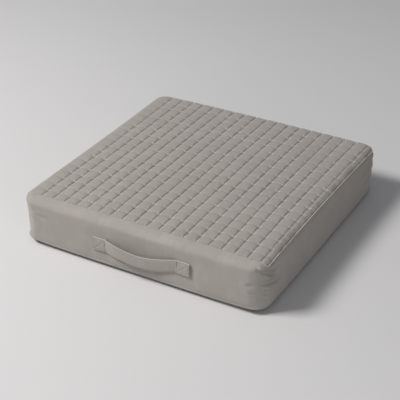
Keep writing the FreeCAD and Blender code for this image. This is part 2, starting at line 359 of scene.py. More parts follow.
def settle_cloth(piece, hold, pressure, slack, bending, cap):
    """Lets Blender's cloth swell and wrinkle a piece, then keeps the result. Hold is 1 where a
    point is sewn down, and below that the share of its movement that is taken back. No point moves
    further than the cap."""
    mesh = piece.data
    count = len(mesh.vertices)
    before = np.zeros(count * 3)
    mesh.vertices.foreach_get("co", before)
    group = piece.vertex_groups.new(name="sewn")
    group.add([int(i) for i in np.flatnonzero(hold >= 1)], 1.0, "REPLACE")
    cloth = piece.modifiers.new("settle", "CLOTH")
    settings = cloth.settings
    settings.vertex_group_mass = group.name
    settings.quality = 5
    settings.bending_stiffness = bending
    settings.effector_weights.gravity = 0
    settings.use_pressure = True
    settings.uniform_pressure_force = pressure
    settings.use_pressure_volume = True
    settings.target_volume = 0
    settings.shrink_min = -slack
    cloth.collision_settings.use_collision = False
    cloth.point_cache.frame_start = 1
    cloth.point_cache.frame_end = CLOTH_FRAMES
    scene = bpy.context.scene
    for frame_number in range(1, CLOTH_FRAMES + 1):
        scene.frame_set(frame_number)
    settled = piece.evaluated_get(bpy.context.evaluated_depsgraph_get()).data
    after = np.zeros(count * 3)
    settled.vertices.foreach_get("co", after)
    piece.modifiers.remove(cloth)
    piece.vertex_groups.remove(group)
    scene.frame_set(1)
    move = (after - before).reshape(-1, 3)
    length = np.linalg.norm(move, axis=1, keepdims=True)
    move *= np.tanh(length / cap) * cap / np.maximum(length, TINY) * (1 - hold[:, None])
    mesh.vertices.foreach_set("co", (before.reshape(-1, 3) + move).ravel())
    mesh.update()


def reshape_piece(piece, change):
    """Passes every vertex of the piece through change."""
    mesh = piece.data
    places = np.zeros(len(mesh.vertices) * 3)
    mesh.vertices.foreach_get("co", places)
    mesh.vertices.foreach_set("co", change(places.reshape(-1, 3)).ravel())
    mesh.update()


# ---------------------------------------------------------------- the quilted top panel

# Heights are from the pad's plain outer form. A pinch sinks freely as far as FREE_SINK, and
# MORE_SINK is the most that it can add to that, so that the face cloth stays above the wadding and
# backing.
PUFF = 2.1 * MM
GROOVE_SINK = 1.1 * MM
FREE_SINK = 2.2 * MM
MORE_SINK = 1.2 * MM
PINCH_DEPTH = 2.2
WADDING_BOTTOM = -4.9 * MM
BACKING_TOP = -5.0 * MM
BACKING_BOTTOM = -5.6 * MM
FOAM_SLACK = 1.0 * MM
PANEL_S = [-PANEL_HALF, *LONG_ROWS, PANEL_HALF]
PANEL_T = [FRONT_SEAM_Y, *CROSS_ROWS, PANEL_HALF]
LAYER_HALF = 0.985 * PANEL_HALF
LAYER_FRONT = FRONT_SEAM_Y + 3 * MM


def groove(distance, width):
    """0 on a sewn row, rising to 1 away from it."""
    return 1 - np.exp(-((distance / width) ** 1.2))


def puff(distance, width):
    """A quilted cell's section: steep out of the sewn row over the width, then a low flat crown."""
    return 0.88 * groove(distance, width) + 0.12 * groove(distance, 4.5 * MM)


def row_distance(values, marks):
    """How far each value is from the nearest mark."""
    share, width = between_marks(values, marks)
    return np.minimum(share, 1 - share) * width


def past_row(values, marks):
    """How far each value is past the nearest mark; negative before it."""
    share, width = between_marks(values, marks)
    return np.where(share < 0.5, share, share - 1) * width


def around_row(past, before, after):
    """1 on a row, falling away over one width before it and another after it."""
    return bump(past, np.where(past < 0, before, after))


def quilt_height(s, t):
    """How far the quilted cloth stands above the pad's plain outer form. Beside each long row it is
    steep on the left and slower on the right, and the strip right of the last row lies lower and is
    laddered across."""
    from_long = row_distance(s, PANEL_S)
    from_cross = row_distance(t, PANEL_T)
    past_long = past_row(s, PANEL_S)
    past_cross = past_row(t, PANEL_T)
    right_of_row = smooth(past_long / MM)
    steep = (0.7 + 1.1 * right_of_row) * MM
    cross_depth = 0.2 + 0.45 * bump(from_long, 5 * MM)
    rise = puff(from_long, steep) * (1 - cross_depth + cross_depth * puff(from_cross, 1.1 * MM))
    pinch = pinch_strength(s, t) * around_row(past_long, 7 * MM, 4 * MM)
    pinch = pinch * around_row(past_cross, 4.2 * MM, 2.2 * MM)
    fullness = 1 + 0.16 * soft_noise(s, t, 26 * MM, 11) + 0.12 * soft_noise(s, t, 110 * MM, 12)
    along_rows = soft_noise(s * 0.35, t, 4.2 * MM, 13) * bump(from_long - 2.5 * MM, 3 * MM)
    across_rows = soft_noise(s, t * 0.35, 4.8 * MM, 14) * bump(from_cross - 2.5 * MM, 2.5 * MM)
    crumple = soft_noise(s, t, 7 * MM, 15) * groove(from_long, 3 * MM)
    last_strip = smooth((s - LONG_ROWS[-1]) / MM) * bump(from_long - 4 * MM, 4 * MM)
    ladder = soft_noise(s * 0.2, t, 6 * MM, 16) * last_strip
    gathers = 0.34 * along_rows * (0.7 + 0.7 * right_of_row) + 0.2 * across_rows
    gathers += 0.16 * crumple + 1.3 * ladder - 0.9 * last_strip - PINCH_DEPTH * pinch
    at_seam = bump(seam_distance(s, t), 1.5 * MM)
    height = PUFF * rise * fullness - GROOVE_SINK * (1 - 0.7 * at_seam) + MM * gathers
    sunk = np.minimum(height + FREE_SINK, 0)
    return height - sunk + MORE_SINK * np.tanh(sunk / MORE_SINK)


def pinch_strength(s, t):
    """How hard the crossing of two rows nearest to a point pulls the cloth in. It differs from one
    to the next."""
    return (0.72 + 0.7 * soft_noise(s, t, 21 * MM, 17)) * bump(row_distance(s, LONG_ROWS), 8 * MM)


def quilt_painted_shade_and_highlight(s, t):
    """Painted shade and highlight over the quilting, from -1 for painted shade to 1 for a painted
    highlight."""
    past_long = past_row(s, PANEL_S)
    past_cross = past_row(t, PANEL_T)
    beside = bump(past_long + 1 * MM, 6 * MM)
    pinch = pinch_strength(s, t)
    # Painted shade: a dark line in each groove and a smudge at the near side of each crossing.
    # Painted highlight: a line on each groove's lit side and a tick at the far side of each
    # crossing.
    painted_shade_and_highlight = 0.5 * bump(past_long - 1.9 * MM, 0.9 * MM) - 1.0 * bump(past_long + 0.2 * MM, 0.7 * MM)
    painted_shade_and_highlight += 1.05 * pinch * beside * bump(past_cross - 1.9 * MM, 1.2 * MM)
    painted_shade_and_highlight -= 0.9 * pinch * bump(past_long + 4 * MM, 5 * MM) * bump(past_cross + 2.4 * MM, 2.6 * MM)
    # Painted shade over the strip right of the last row.
    last_strip = smooth((s - LONG_ROWS[-1]) / MM)
    return painted_shade_and_highlight - last_strip * (0.6 + 0.6 * soft_noise(s * 0.2, t, 6 * MM, 16))


def panel_place(s, t, height):
    """Puts flat points of the top panel on the pad's plain form, with a height above it. Rows
    wander a little."""
    edge = smooth((PANEL_HALF - np.maximum(np.abs(s), np.abs(t))) / (25 * MM))
    front_edge = smooth((t - FRONT_SEAM_Y) / (20 * MM))
    s = s + 0.7 * MM * soft_noise(s, t, 75 * MM, 21) * edge
    t = t + 0.9 * MM * soft_noise(s, t, 80 * MM, 22) * edge * front_edge
    beyond = np.clip(-t - CORNER_CENTRE, 0, PANEL_CORNER)
    drawn = 1 - np.sqrt(1 - (beyond / PANEL_CORNER) ** 2)
    s = s - np.sign(s) * np.maximum(np.abs(s) - CORNER_CENTRE, 0) * drawn
    s, t = square_to_round(s, t, CORNER_CENTRE, PANEL_CORNER, fronts=False)
    places, normals = rolled(s, t, TOP_ROLL, CORE_CORNER, TOP, 1)
    return places + normals * np.asarray(height)[..., None], normals


def panel_grid(steps):
    """Flat grid points of the top panel, with one more line all round for the cut edge, which turns
    in."""
    s_lines = clustered(PANEL_S, steps)
    t_lines = clustered(PANEL_T, steps)
    s_lines = np.concatenate([s_lines[:1], s_lines, s_lines[-1:]])
    t_lines = np.concatenate([t_lines[:1], t_lines, t_lines[-1:]])
    return np.meshgrid(s_lines, t_lines)


def turned_edge(shape):
    """How far each point of a grid is turned in, as a share of the tuck: 0 except on the outermost
    lines."""
    turned = np.zeros(shape)
    turned[[0, -1], :] += 0.85
    turned[:, [0, -1]] += 1.0
    return turned


def seam_distance(s, t):
    """How far a flat point of the top panel is from the seam round it."""
    return np.minimum(PANEL_HALF - np.maximum(np.abs(s), t), t - FRONT_SEAM_Y)


# Where the grid's lines cross a cell, as shares of it.
FACE_STEPS = [0.03, 0.075, 0.15, 0.27, 0.42, 0.58, 0.73, 0.85, 0.925, 0.97]
LAYER_STEPS = [0.06, 0.15, 0.3, 0.5, 0.7, 0.85, 0.94]


def make_top_panel():
    """The quilted face cloth, swollen and puckered between its sewn rows."""
    s, t = panel_grid(FACE_STEPS)
    turned_in = turned_edge(s.shape)
    height = quilt_height(s, t)
    from_seam = seam_distance(s, t)
    at_front = bump(t - FRONT_SEAM_Y, 8 * MM)
    height += 0.25 * MM * bump(from_seam - 2.4 * MM, 1.2 * MM) * (1 - 0.8 * at_front)
    height = np.where(turned_in > 0, -TUCK * turned_in, height)
    places, _ = panel_place(s, t, height)
    piece = make_piece("top_panel_quilted", places, grid_faces(*s.shape), np.stack([s, t], -1))
    on_row = (row_distance(s, PANEL_S) < 0.2 * MM) | (row_distance(t, PANEL_T) < 0.2 * MM)
    hold = np.where(on_row | (turned_in > 0), 1.0, bump(row_distance(s, PANEL_S), 2.4 * MM))
    settle_cloth(piece, hold.ravel(), pressure=10, slack=0.014, bending=0.1, cap=0.6 * MM)
    reshape_piece(piece, soften)
    # The quilting's painted shade and highlight, for the material to read.
    mark(piece, "painted_shade_and_highlight", quilt_painted_shade_and_highlight(s, t))
    return thicken(piece, CLOTH)


def under_face(s, t):
    """The top of the wadding: clear of the face cloth, and nearly meeting the wadding's bottom at a
    pinch."""
    face = quilt_height(s, t)
    top = np.minimum(0.8 * face - 1.5 * MM, face - CLOTH - 0.15 * MM)
    return np.maximum(top, WADDING_BOTTOM + 0.1 * MM)


def layer_under_panel(name, upper, lower):
    """A closed layer under the face cloth, between two heights given as functions of flat
    points."""
    s, t = panel_grid(LAYER_STEPS)
    s = np.interp(s[1:-1, 1:-1], PANEL_S, [-LAYER_HALF, *LONG_ROWS, LAYER_HALF])
    t = np.interp(t[1:-1, 1:-1], PANEL_T, [LAYER_FRONT, *CROSS_ROWS, LAYER_HALF])
    above, _ = panel_place(s, t, upper(s, t))
    below, _ = panel_place(s, t, lower(s, t))
    rows, columns = s.shape
    count = rows * columns
    top_faces = grid_faces(rows, columns)
    rim = np.concatenate([
        np.arange(columns),
        np.arange(1, rows) * columns + columns - 1,
        (rows - 1) * columns + np.arange(columns - 2, -1, -1),
        np.arange(rows - 2, 0, -1) * columns,
    ])
    after = np.roll(rim, -1)
    sides = np.stack([rim + count, after + count, after, rim], -1)
    faces = np.concatenate([top_faces, top_faces[:, ::-1] + count, sides])
    both = np.concatenate([above.reshape(-1, 3), below.reshape(-1, 3)])
    return make_piece(name, soften(both), faces)


def level(height):
    """A height that is the same everywhere."""
    return lambda s, t: 0 * s + height


def make_quilting():
    """Tone-on-tone stitches along the bottom of every quilted groove."""
    thread_height = 0.15 * MM
    fine_t = np.arange(FRONT_SEAM_Y + 2.5 * MM, PANEL_HALF - 2 * MM, PATH_STEP)
    fine_s = np.arange(3 * MM - PANEL_HALF, PANEL_HALF - 3 * MM, PATH_STEP)

    def along(s, t):
        places, normals = panel_place(s, t, quilt_height(s, t) + thread_height)
        return soften(places), normals

    long_paths = [along(np.full(fine_t.shape, row), fine_t) for row in LONG_ROWS]
    cross_paths = [along(fine_s, np.full(fine_s.shape, row)) for row in CROSS_ROWS]
    return (
        run_stitches("quilting_stitches_long", long_paths, "quilting"),
        run_stitches("quilting_stitches_cross", cross_paths, "quilting"),
    )


# ---------------------------------------------------------------- the side band

LEFT_LOW, LEFT_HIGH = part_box("handle_end_left")
RIGHT_LOW, RIGHT_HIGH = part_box("handle_end_right")
QUARTER = CORNER * math.pi / 2
STUB = CORNER_CENTRE - JOIN_X
SIDE = 2 * CORNER_CENTRE
PATH_ENDS = np.cumsum([0, STUB, QUARTER, SIDE, QUARTER, SIDE, QUARTER, SIDE, QUARTER, STUB])
PATH_TURN = np.radians([90, 90, 180, 180, 270, 270, 360, 360, 450, 450])
PATH_X = np.array([-JOIN_X] + [-CORNER_CENTRE] * 4 + [CORNER_CENTRE] * 4 + [JOIN_X])
PATH_Y = np.array([1, 1, 1, -1, -1, -1, -1, 1, 1, 1]) * CORNER_CENTRE
FRONT_MIDDLE = PATH_ENDS[4] + SIDE / 2
BACK_LEFT, FRONT_LEFT, FRONT_RIGHT, BACK_RIGHT = (PATH_ENDS[k] + QUARTER / 2 for k in (1, 3, 5, 7))


def outline(a):
    """The foot of the side band at distance a from its back left join, and which way it faces."""
    turn = np.interp(a, PATH_ENDS, PATH_TURN)
    outward = np.stack([np.cos(turn), np.sin(turn)], -1)
    centre = np.stack([np.interp(a, PATH_ENDS, PATH_X), np.interp(a, PATH_ENDS, PATH_Y)], -1)
    return centre + CORNER * outward, outward


def polyline_distance(a, q, path):
    """Distance from (a, q) to a path, the share of the path at the nearest point, and which side it
    is on."""
    best = np.full(np.shape(a), 1.0)
    share = np.zeros(np.shape(a))
    side = np.zeros(np.shape(a))
    path = np.array(path) * MM
    for k, (start, end) in enumerate(zip(path, path[1:])):
        step = end - start
        length = step @ step
        along = np.clip(((a - start[0]) * step[0] + (q - start[1]) * step[1]) / length, 0, 1)
        da = a - start[0] - along * step[0]
        dq = q - start[1] - along * step[1]
        distance = np.hypot(da, dq)
        nearer = distance < best
        best = np.where(nearer, distance, best)
        share = np.where(nearer, (k + along) / (len(path) - 1), share)
        side = np.where(nearer, np.sign(step[0] * dq - step[1] * da), side)
    return best, share, side


# Creases of the slack cloth, in mm: depth, width, the lip beside it, and a path of (along the band,
# up it). Distances along the band are from the middle of the corner.
FRONT_RIGHT_CREASES = [
    (4.4, 2.3, 3.2, [(-11, 88), (-5, 82), (5, 76), (14, 71), (28, 62), (52, 54)]),
    (3.6, 2.8, 2.4, [(-4, 54), (14, 52), (28, 46), (44, 41), (76, 40)]),
    (1.3, 3.6, 0.8, [(16, 78), (36, 72), (56, 70)]),
    (1.3, 2.6, 0.8, [(0, 45), (9, 42), (18, 38)]),
    (1.3, 2.6, 0.8, [(0, 37), (8, 32), (17, 28)]),
    (1.1, 3.0, 0.6, [(2, 27), (10, 21), (18, 17)]),
]
FRONT_LEFT_CREASES = [
    (1.3, 5.0, 0.9, [(-90, 52), (-56, 58), (-28, 68), (-6, 84)]),
    (0.9, 4.4, 0.6, [(-64, 30), (-34, 38), (-10, 52), (6, 70)]),
    (0.9, 4.0, 0.6, [(-2, 80), (14, 66), (34, 58), (60, 56)]),
]
BACK_RIGHT_CREASES = [
    (2.2, 3.8, 1.5, [(-80, 54), (-50, 58), (-24, 66), (-6, 76), (4, 86)]),
    (1.6, 4.0, 1.0, [(-70, 34), (-36, 38), (-10, 50), (6, 64)]),
    (1.2, 4.0, 0.8, [(-4, 82), (12, 68), (34, 60), (50, 57)]),
]
BACK_LEFT_CREASES = [
    (2.0, 3.8, 1.3, [(-6, 86), (6, 76), (24, 68), (52, 62), (84, 60)]),
    (1.4, 4.0, 0.9, [(-4, 62), (12, 50), (36, 42), (66, 40)]),
    (1.0, 4.0, 0.7, [(-50, 58), (-30, 62), (-12, 72), (0, 84)]),
]
CORNER_CREASES = [
    (FRONT_RIGHT, FRONT_RIGHT_CREASES),
    (FRONT_LEFT, FRONT_LEFT_CREASES),
    (BACK_RIGHT, BACK_RIGHT_CREASES),
    (BACK_LEFT, BACK_LEFT_CREASES),
]


def creases(a, q, paths):
    """How far the listed creases move the cloth outwards at (a, q)."""
    moved = np.zeros(np.shape(a))
    for depth, width, lip, path in paths:
        distance, share, side = polyline_distance(a, q, path)
        fade = smooth(share / 0.18) * smooth((1 - share) / 0.3)
        valley = bump(distance, width * MM)
        ridge = bump(distance * side - 1.5 * width * MM, width * MM)
        moved += MM * fade * (lip * ridge - depth * valley)
    return moved


# The strap's pull on the band behind and below it: where, how wide and how high, and how far (mm).
BEHIND_STRAP = (12 * MM, 72 * MM, 50 * MM, 21 * MM, -3.4)
UNDER_STRAP = (12 * MM, 80 * MM, 14 * MM, 8 * MM, 0.5)


def band_relief(a, q, q_top):
    """How far the side band's cloth stands out from the pad's plain form: waves, the corners'
    creases, the strap's pull, gathers under the front seam, a raised edge at the seams, and a dip
    in them."""
    x = a - FRONT_MIDDLE
    frontness = smooth(-outline(a)[1][..., 1])
    low = smooth(q / (12 * MM)) * smooth((q_top - q) / (10 * MM))
    waves = 0.9 * soft_noise(a, q, 85 * MM, 31) + 0.35 * soft_noise(a, q * 1.3, 34 * MM, 32)
    waves += 0.12 * soft_noise(a, q * 1.5, 13 * MM, 33)
    relief = MM * waves * low
    for corner, paths in CORNER_CREASES:
        relief += creases(a - corner, q, paths) * low
    for middle_x, width, middle_q, height, pull in (BEHIND_STRAP, UNDER_STRAP):
        relief += MM * pull * bump(x - middle_x, width) * bump(q - middle_q, height)
    gathered = 0.7 + 0.7 * soft_noise(a, q * 0.3, 7 * MM, 34)
    relief += MM * gathered * frontness * bump(q_top - q - 2.6 * MM, 2.2 * MM)
    relief += MM * (1.9 - 1.5 * frontness) * bump(q_top - q - 1.0 * MM, 0.7 * MM)
    relief += MM * 1.0 * bump(q - 1.6 * MM, 1.3 * MM)
    relief -= MM * 0.5 * (0.5 * bump(q_top - q, 0.4 * MM) + bump(q, 0.7 * MM))
    return relief


def band_place(a, q, lift=0.0):
    """A place on the side band's cloth, with its normal."""
    foot, outward = outline(a)
    places, normals = wall_point(foot, outward, q)
    height = band_relief(a, q, wall_top(outward)) + lift
    return soften(places + normals * height[..., None]), normals


def band_rows(q_top):
    """Heights of the grid's rows, from the bottom seam to the top one, closer together at the
    seams."""
    lower = np.array([0, 0.8, 1.6, 2.4, 3.4, 4.6, 6.2]) * MM
    middle = np.linspace(8 * MM, 78 * MM, 36)
    share = np.linspace(0, 1, 15)[1:]
    upper = middle[-1] + (q_top - middle[-1]) * (1 - (1 - share) ** 1.7)
    return np.concatenate([lower, middle, upper])


def make_side_band():
    """The plain cloth round the left side, the front and the right side."""
    creased = (FRONT_RIGHT - 30 * MM, FRONT_RIGHT + 90 * MM)
    a = np.concatenate([
        np.linspace(0, creased[0], 370)[:-1],
        np.linspace(*creased, 85)[:-1],
        np.linspace(creased[1], PATH_ENDS[-1], 190),
    ])
    _, outward = outline(a)
    q = np.stack([band_rows(top) for top in wall_top(outward)], 1)
    a_grid = np.broadcast_to(a, q.shape)
    places, normals = band_place(a_grid, q)
    first = places[:1] - normals[:1] * TUCK
    last = places[-1:] - normals[-1:] * TUCK
    places = np.concatenate([first, places, last])
    flat = np.stack([a_grid, q], -1)
    flat = np.concatenate([flat[:1], flat, flat[-1:]])
    inward = np.concatenate([normals[:1], normals, normals[-1:]])
    left = places[:, :1] - inward[:, :1] * TUCK
    right = places[:, -1:] - inward[:, -1:] * TUCK
    places = np.concatenate([left, places, right], 1)
    flat = np.concatenate([flat[:, :1], flat, flat[:, -1:]], 1)
    piece = make_piece("side_band_cloth", places, grid_faces(*places.shape[:2]), flat)
    x, q = flat[..., 0] - FRONT_MIDDLE, flat[..., 1]
    _, facing = outline(flat[..., 0])
    below_seam = wall_top(facing) - q
    hold = 1 - smooth(np.minimum(q, below_seam) / (9 * MM))
    for low, high in ((LEFT_LOW, LEFT_HIGH), (RIGHT_LOW, RIGHT_HIGH)):
        outside = np.hypot(
            np.maximum(np.abs(x - (low.x + high.x) / 2) - (high.x - low.x) / 2, 0),
            np.maximum(q + BOTTOM_SEAM_Z - high.z, 0),
        )
        hold = np.maximum(hold, 1 - smooth(outside / (22 * MM)))
    hold = np.where(turned_edge(x.shape) > 0, 1.0, hold)
    settle_cloth(piece, hold.ravel(), pressure=200, slack=0.006, bending=8.0, cap=1.6 * MM)
    # Painted highlight along the raised edge under the top seam, weaker at the front.
    top_edge = bump(below_seam - 0.9 * MM, 0.9 * MM)
    mark(piece, "painted_highlight_and_rubbing", top_edge * (1 - 0.75 * smooth(-facing[..., 1])))
    return thicken(piece, CLOTH)


# ---------------------------------------------------------------- the back strips and the bottom

ZIP_Z = (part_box("zip_tape_upper")[1].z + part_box("zip_tape_lower")[0].z) / 2
ZIP_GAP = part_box("back_band_upper")[0].z - ZIP_Z
STITCH_FROM_FOLD = 4 * MM
BACK_TOP = wall_top(np.array([[0.0, 1.0]]))[0]
UPPER_FROM = ZIP_Z + ZIP_GAP - BOTTOM_SEAM_Z
LOWER_TO = ZIP_Z - ZIP_GAP - BOTTOM_SEAM_Z


def back_place(x, q, lift=0.0):
    """A place on the back of the pad, with its normal. The cloth waves a little, is raised at its
    seams, joins and zip edge, and dips along its topstitching."""
    foot = np.stack([x, np.full(np.shape(x), HALF)], -1)
    outward = np.stack([np.zeros(np.shape(x)), np.ones(np.shape(x))], -1)
    places, normals = wall_point(foot, outward, q)
    q_top = wall_top(outward)
    from_zip = np.abs(q + BOTTOM_SEAM_Z - ZIP_Z) - ZIP_GAP
    calm = smooth(from_zip / (12 * MM)) * smooth(q / (10 * MM)) * smooth((q_top - q) / (8 * MM))
    past_join = np.abs(x) - JOIN_X
    past_stitch = from_zip - STITCH_FROM_FOLD
    relief = 0.55 * soft_noise(x, q, 60 * MM, 41) + 0.25 * soft_noise(x, q * 1.5, 22 * MM, 42)
    relief = relief * calm
    relief += 1.8 * bump(q_top - q - 1.4 * MM, 1.0 * MM) + 1.0 * bump(q - 1.6 * MM, 1.3 * MM)
    relief += 0.35 * bump(from_zip - 1.6 * MM, 1.5 * MM) - 0.25 * bump(past_stitch, 0.9 * MM)
    relief += 0.1 * soft_noise(x, q, 4.5 * MM, 43) * bump(past_stitch, 2.5 * MM)
    relief += 0.5 * bump(past_join + 2.2 * MM, 1.5 * MM) - 0.3 * bump(past_join, 0.8 * MM)
    return soften(places + normals * (MM * relief + lift)[..., None]), normals


# The fold beside the zip: steps inwards from the strip's edge, and on past it or (below 0) back
# behind it (mm).
FOLD_STEPS = [(0.25, 0.35), (0.75, 0.45), (1.25, 0.3), (1.7, -0.4), (1.75, -7)]
BACK_CLOTH = 0.8 * MM


def make_back_strip(name, q_from, q_to, fold_at_start):
    """A strip of the back. One edge is folded in beside the zip; the other three are turned in at
    seams."""
    x = np.linspace(-JOIN_X, JOIN_X, 185)
    share = np.linspace(0, 1, 22)
    q = q_from + (q_to - q_from) * smooth(share) * 0.6 + (q_to - q_from) * share * 0.4
    places, normals = back_place(*np.meshgrid(x, q))
    fold_row, seam_row, past = (0, -1, -1.0) if fold_at_start else (-1, 0, 1.0)
    up = np.array([0, 0, past])
    lips = [
        places[fold_row] - normals[fold_row] * inwards * MM + up * on * MM
        for inwards, on in FOLD_STEPS
    ]
    seam = places[seam_row] - normals[seam_row] * TUCK
    grid = np.array([*lips[::-1], *places, seam] if fold_at_start else [seam, *places, *lips])
    turned_in = np.array([0, -TUCK, 0])
    grid = np.concatenate([grid[:, :1] + turned_in, grid, grid[:, -1:] + turned_in], 1)
    piece = sheet_piece(name, grid, grid[..., 0], grid[..., 2], BACK_CLOTH)
    # Painted highlight along the raised edge under the top seam and along the folded edge beside
    # the zip.
    top_edge = bump(grid[..., 2] - TOP_SEAM_Z + 1.2 * MM, 0.9 * MM)
    folded_edge = bump(np.abs(grid[..., 2] - ZIP_Z) - ZIP_GAP, 0.8 * MM)
    mark(piece, "painted_highlight_and_rubbing", 0.6 * top_edge + 0.35 * folded_edge)
    return piece


def make_bottom():
    """The plain bottom cloth: flat where it rests, and rolled up to the bottom seam all round."""
    flat_half = 220 * MM
    steps = [3, 7, 11, 14, 17, 20, 23, 25.5, 27.5, 29, 30.2, 31.2, 32.0, 32.8]
    edge = np.array(steps) * MM + flat_half
    outer = np.concatenate([edge, [BOTTOM_REACH, BOTTOM_REACH]])
    lines = np.concatenate([-outer[::-1], np.linspace(-flat_half, flat_half, 81), outer])
    s, t = np.meshgrid(lines, lines)
    s_round, t_round = square_to_round(s, t, CORNER_CENTRE, BOTTOM_REACH - CORNER_CENTRE)
    places, normals = rolled(s_round, t_round, BOTTOM_ROLL, CORNER - BOTTOM_ROLL, 0.0, -1)
    from_seam = BOTTOM_REACH - np.maximum(np.abs(s), np.abs(t))
    lift = 0.45 * (1 + soft_noise(s, t, 60 * MM, 51)) + 0.15 * (1 + soft_noise(s, t, 18 * MM, 52))
    near_edge = smooth((from_seam - 2 * MM) / (10 * MM))
    height = -MM * lift * near_edge + 0.6 * MM * bump(from_seam - 2.2 * MM, 1.6 * MM)
    height -= 0.4 * MM * bump(from_seam, 0.7 * MM)
    turned_in = turned_edge(s.shape)
    height = np.where(turned_in > 0, -TUCK * turned_in, height)
    return sheet_piece("bottom_cloth", soften(places + normals * height[..., None]), s, t, CLOTH)


def make_seam_stitches():
    """The stitches in the top seam, the bottom seam and the two back joins."""
    a = np.arange(0, PATH_ENDS[-1], 2 * MM)
    x = np.arange(-JOIN_X, JOIN_X, 2 * MM)
    in_seam, in_join = 0.1 * MM, 0.2 * MM
    top = [
        band_place(a, wall_top(outline(a)[1]), in_seam),
        back_place(x, 0 * x + BACK_TOP, in_seam),
    ]
    bottom = [band_place(a, 0 * a, in_seam), back_place(x, 0 * x, in_seam)]
    q = np.arange(PATH_STEP, BACK_TOP - PATH_STEP, PATH_STEP)
    below = q[q + BOTTOM_SEAM_Z < ZIP_Z - ZIP_GAP]
    above = q[q + BOTTOM_SEAM_Z > ZIP_Z + ZIP_GAP]
    joins = [
        back_place(0 * part + side * JOIN_X, part, in_join)
        for side in (-1, 1)
        for part in (below, above)
    ]
    return (
        run_stitches("top_seam_stitches", top, "seam"),
        run_stitches("bottom_seam_stitches", bottom, "seam"),
        run_stitches("back_join_stitches", joins, "seam"),
    )


# ---------------------------------------------------------------- the foam

FOAM_CORNER = 38 * MM
FOAM_TOP_ROUND = 16 * MM
FOAM_BOTTOM_ROUND = 9 * MM
FOAM_SIDE_SLACK = 1.6 * MM


def plan_ring(half, corner):
    """Points round a square plan with round corners, 9 mm apart or less."""
    points = []
    for sx, sy, start in ((1, -1, 270), (1, 1, 0), (-1, 1, 90), (-1, -1, 180)):
        centre = np.array([sx, sy]) * (half - corner)
        for angle in np.radians(np.linspace(start, start + 90, 9)):
            points.append(centre + corner * np.array([math.cos(angle), math.sin(angle)]))
    ring = []
    for here, there in zip(points, points[1:] + points[:1]):
        steps = max(1, round(math.dist(here, there) / (9 * MM)))
        ring += [here + (there - here) * (k / steps) for k in range(steps)]
    return np.array(ring)


def make_foam():
    """The foam block that fills the cover, cut square with its edges eased: rings from the middle
    of its bottom out, up its sides, and in to the middle of its top."""
    low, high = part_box("foam_core")
    half_x = (high.x - low.x) / 2 - FOAM_SIDE_SLACK
    half_y = (high.y - low.y) / 2 - FOAM_SIDE_SLACK
    middle_y = (high.y + low.y) / 2
    top = high.z - FOAM_SLACK
    plan = plan_ring(half_x, FOAM_CORNER)
    levels = [(share, low.z) for share in (0.1, 0.3, 0.5, 0.7, 0.85, 0.93)]
    for turn in np.linspace(0, math.pi / 2, 6):
        inset = FOAM_BOTTOM_ROUND * (1 - math.sin(turn))
        levels.append((1 - inset / half_x, low.z + FOAM_BOTTOM_ROUND * (1 - math.cos(turn))))
    for z in np.linspace(low.z + 16 * MM, top - 22 * MM, 7):
        levels.append((1, z))
    for turn in np.linspace(0, math.pi / 2, 8):
        inset = FOAM_TOP_ROUND * (1 - math.cos(turn))
        levels.append((1 - inset / half_x, top - FOAM_TOP_ROUND + FOAM_TOP_ROUND * math.sin(turn)))
    levels += [(share, top) for share in (0.92, 0.84, 0.7, 0.5, 0.3, 0.1)]
    loops = []
    for share, z in levels:
        x = plan[:, 0] * share
        y = plan[:, 1] * share * half_y / half_x + middle_y
        loops.append(np.stack([x, y, np.full(x.shape, z)], -1))
    return loft("foam_block", soften(np.array(loops)))


# ---------------------------------------------------------------- the zip


def make_zip_tape(name, node):
    """A woven zip tape: a flat ribbon with a very slight ripple, which is strongest away from the
    coil."""
    low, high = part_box(node)
    share = np.linspace(0, 1, 15)
    x, z = np.meshgrid(np.linspace(low.x, high.x, 221), low.z + (high.z - low.z) * share)
    from_coil = share if low.z > ZIP_Z else 1 - share
    flutter = 0.12 * MM * soft_noise(x, z, 16 * MM, 61) * from_coil[:, None]
    outer = np.stack([x, high.y - 0.15 * MM + flutter, z], -1)
    return sheet_piece(name, outer, x, z, high.y - low.y - 0.25 * MM)


COIL_PITCH = 1.5 * MM
COIL_WIRE = 0.31 * MM
COIL_PAST_MIDDLE = 0.25 * MM


def make_coil(name, node, phase):
    """A nylon coil: one thread wound in a long spiral, whose heads swell and mesh with the other
    coil's."""
    low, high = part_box(node)
    upper = low.z > ZIP_Z
    turns = (high.x - low.x) / COIL_PITCH
    steps = 12
    angle = np.arange(0, turns * 2 * math.pi, 2 * math.pi / steps)
    x = low.x + COIL_PITCH * (angle / (2 * math.pi) + phase)
    keep = x < high.x
    angle, x = angle[keep], x[keep]
    root = high.z - COIL_WIRE if upper else low.z + COIL_WIRE
    head = ZIP_Z + (-COIL_PAST_MIDDLE if upper else COIL_PAST_MIDDLE)
    middle_z, half_z = (root + head) / 2, (root - head) / 2
    middle_y, half_y = (low.y + high.y) / 2, (high.y - low.y) / 2 - COIL_WIRE
    swell = np.cos(angle)
    centre = np.stack([x, middle_y + half_y * np.sin(angle), middle_z + half_z * swell], -1)
    ahead = np.gradient(centre, axis=0)
    ahead /= np.linalg.norm(ahead, axis=1, keepdims=True)
    side = np.cross(ahead, np.array([1.0, 0, 0]))
    side /= np.linalg.norm(side, axis=1, keepdims=True)
    over = np.cross(ahead, side)
    around = (np.arange(6) * math.pi / 3)[:, None]
    thick = COIL_WIRE * (1 + 0.35 * smooth((-swell - 0.55) / 0.4))
    ring = np.cos(around) * side[:, None] + np.sin(around) * over[:, None]
    return loft(name, centre[:, None] + ring * thick[:, None, None])


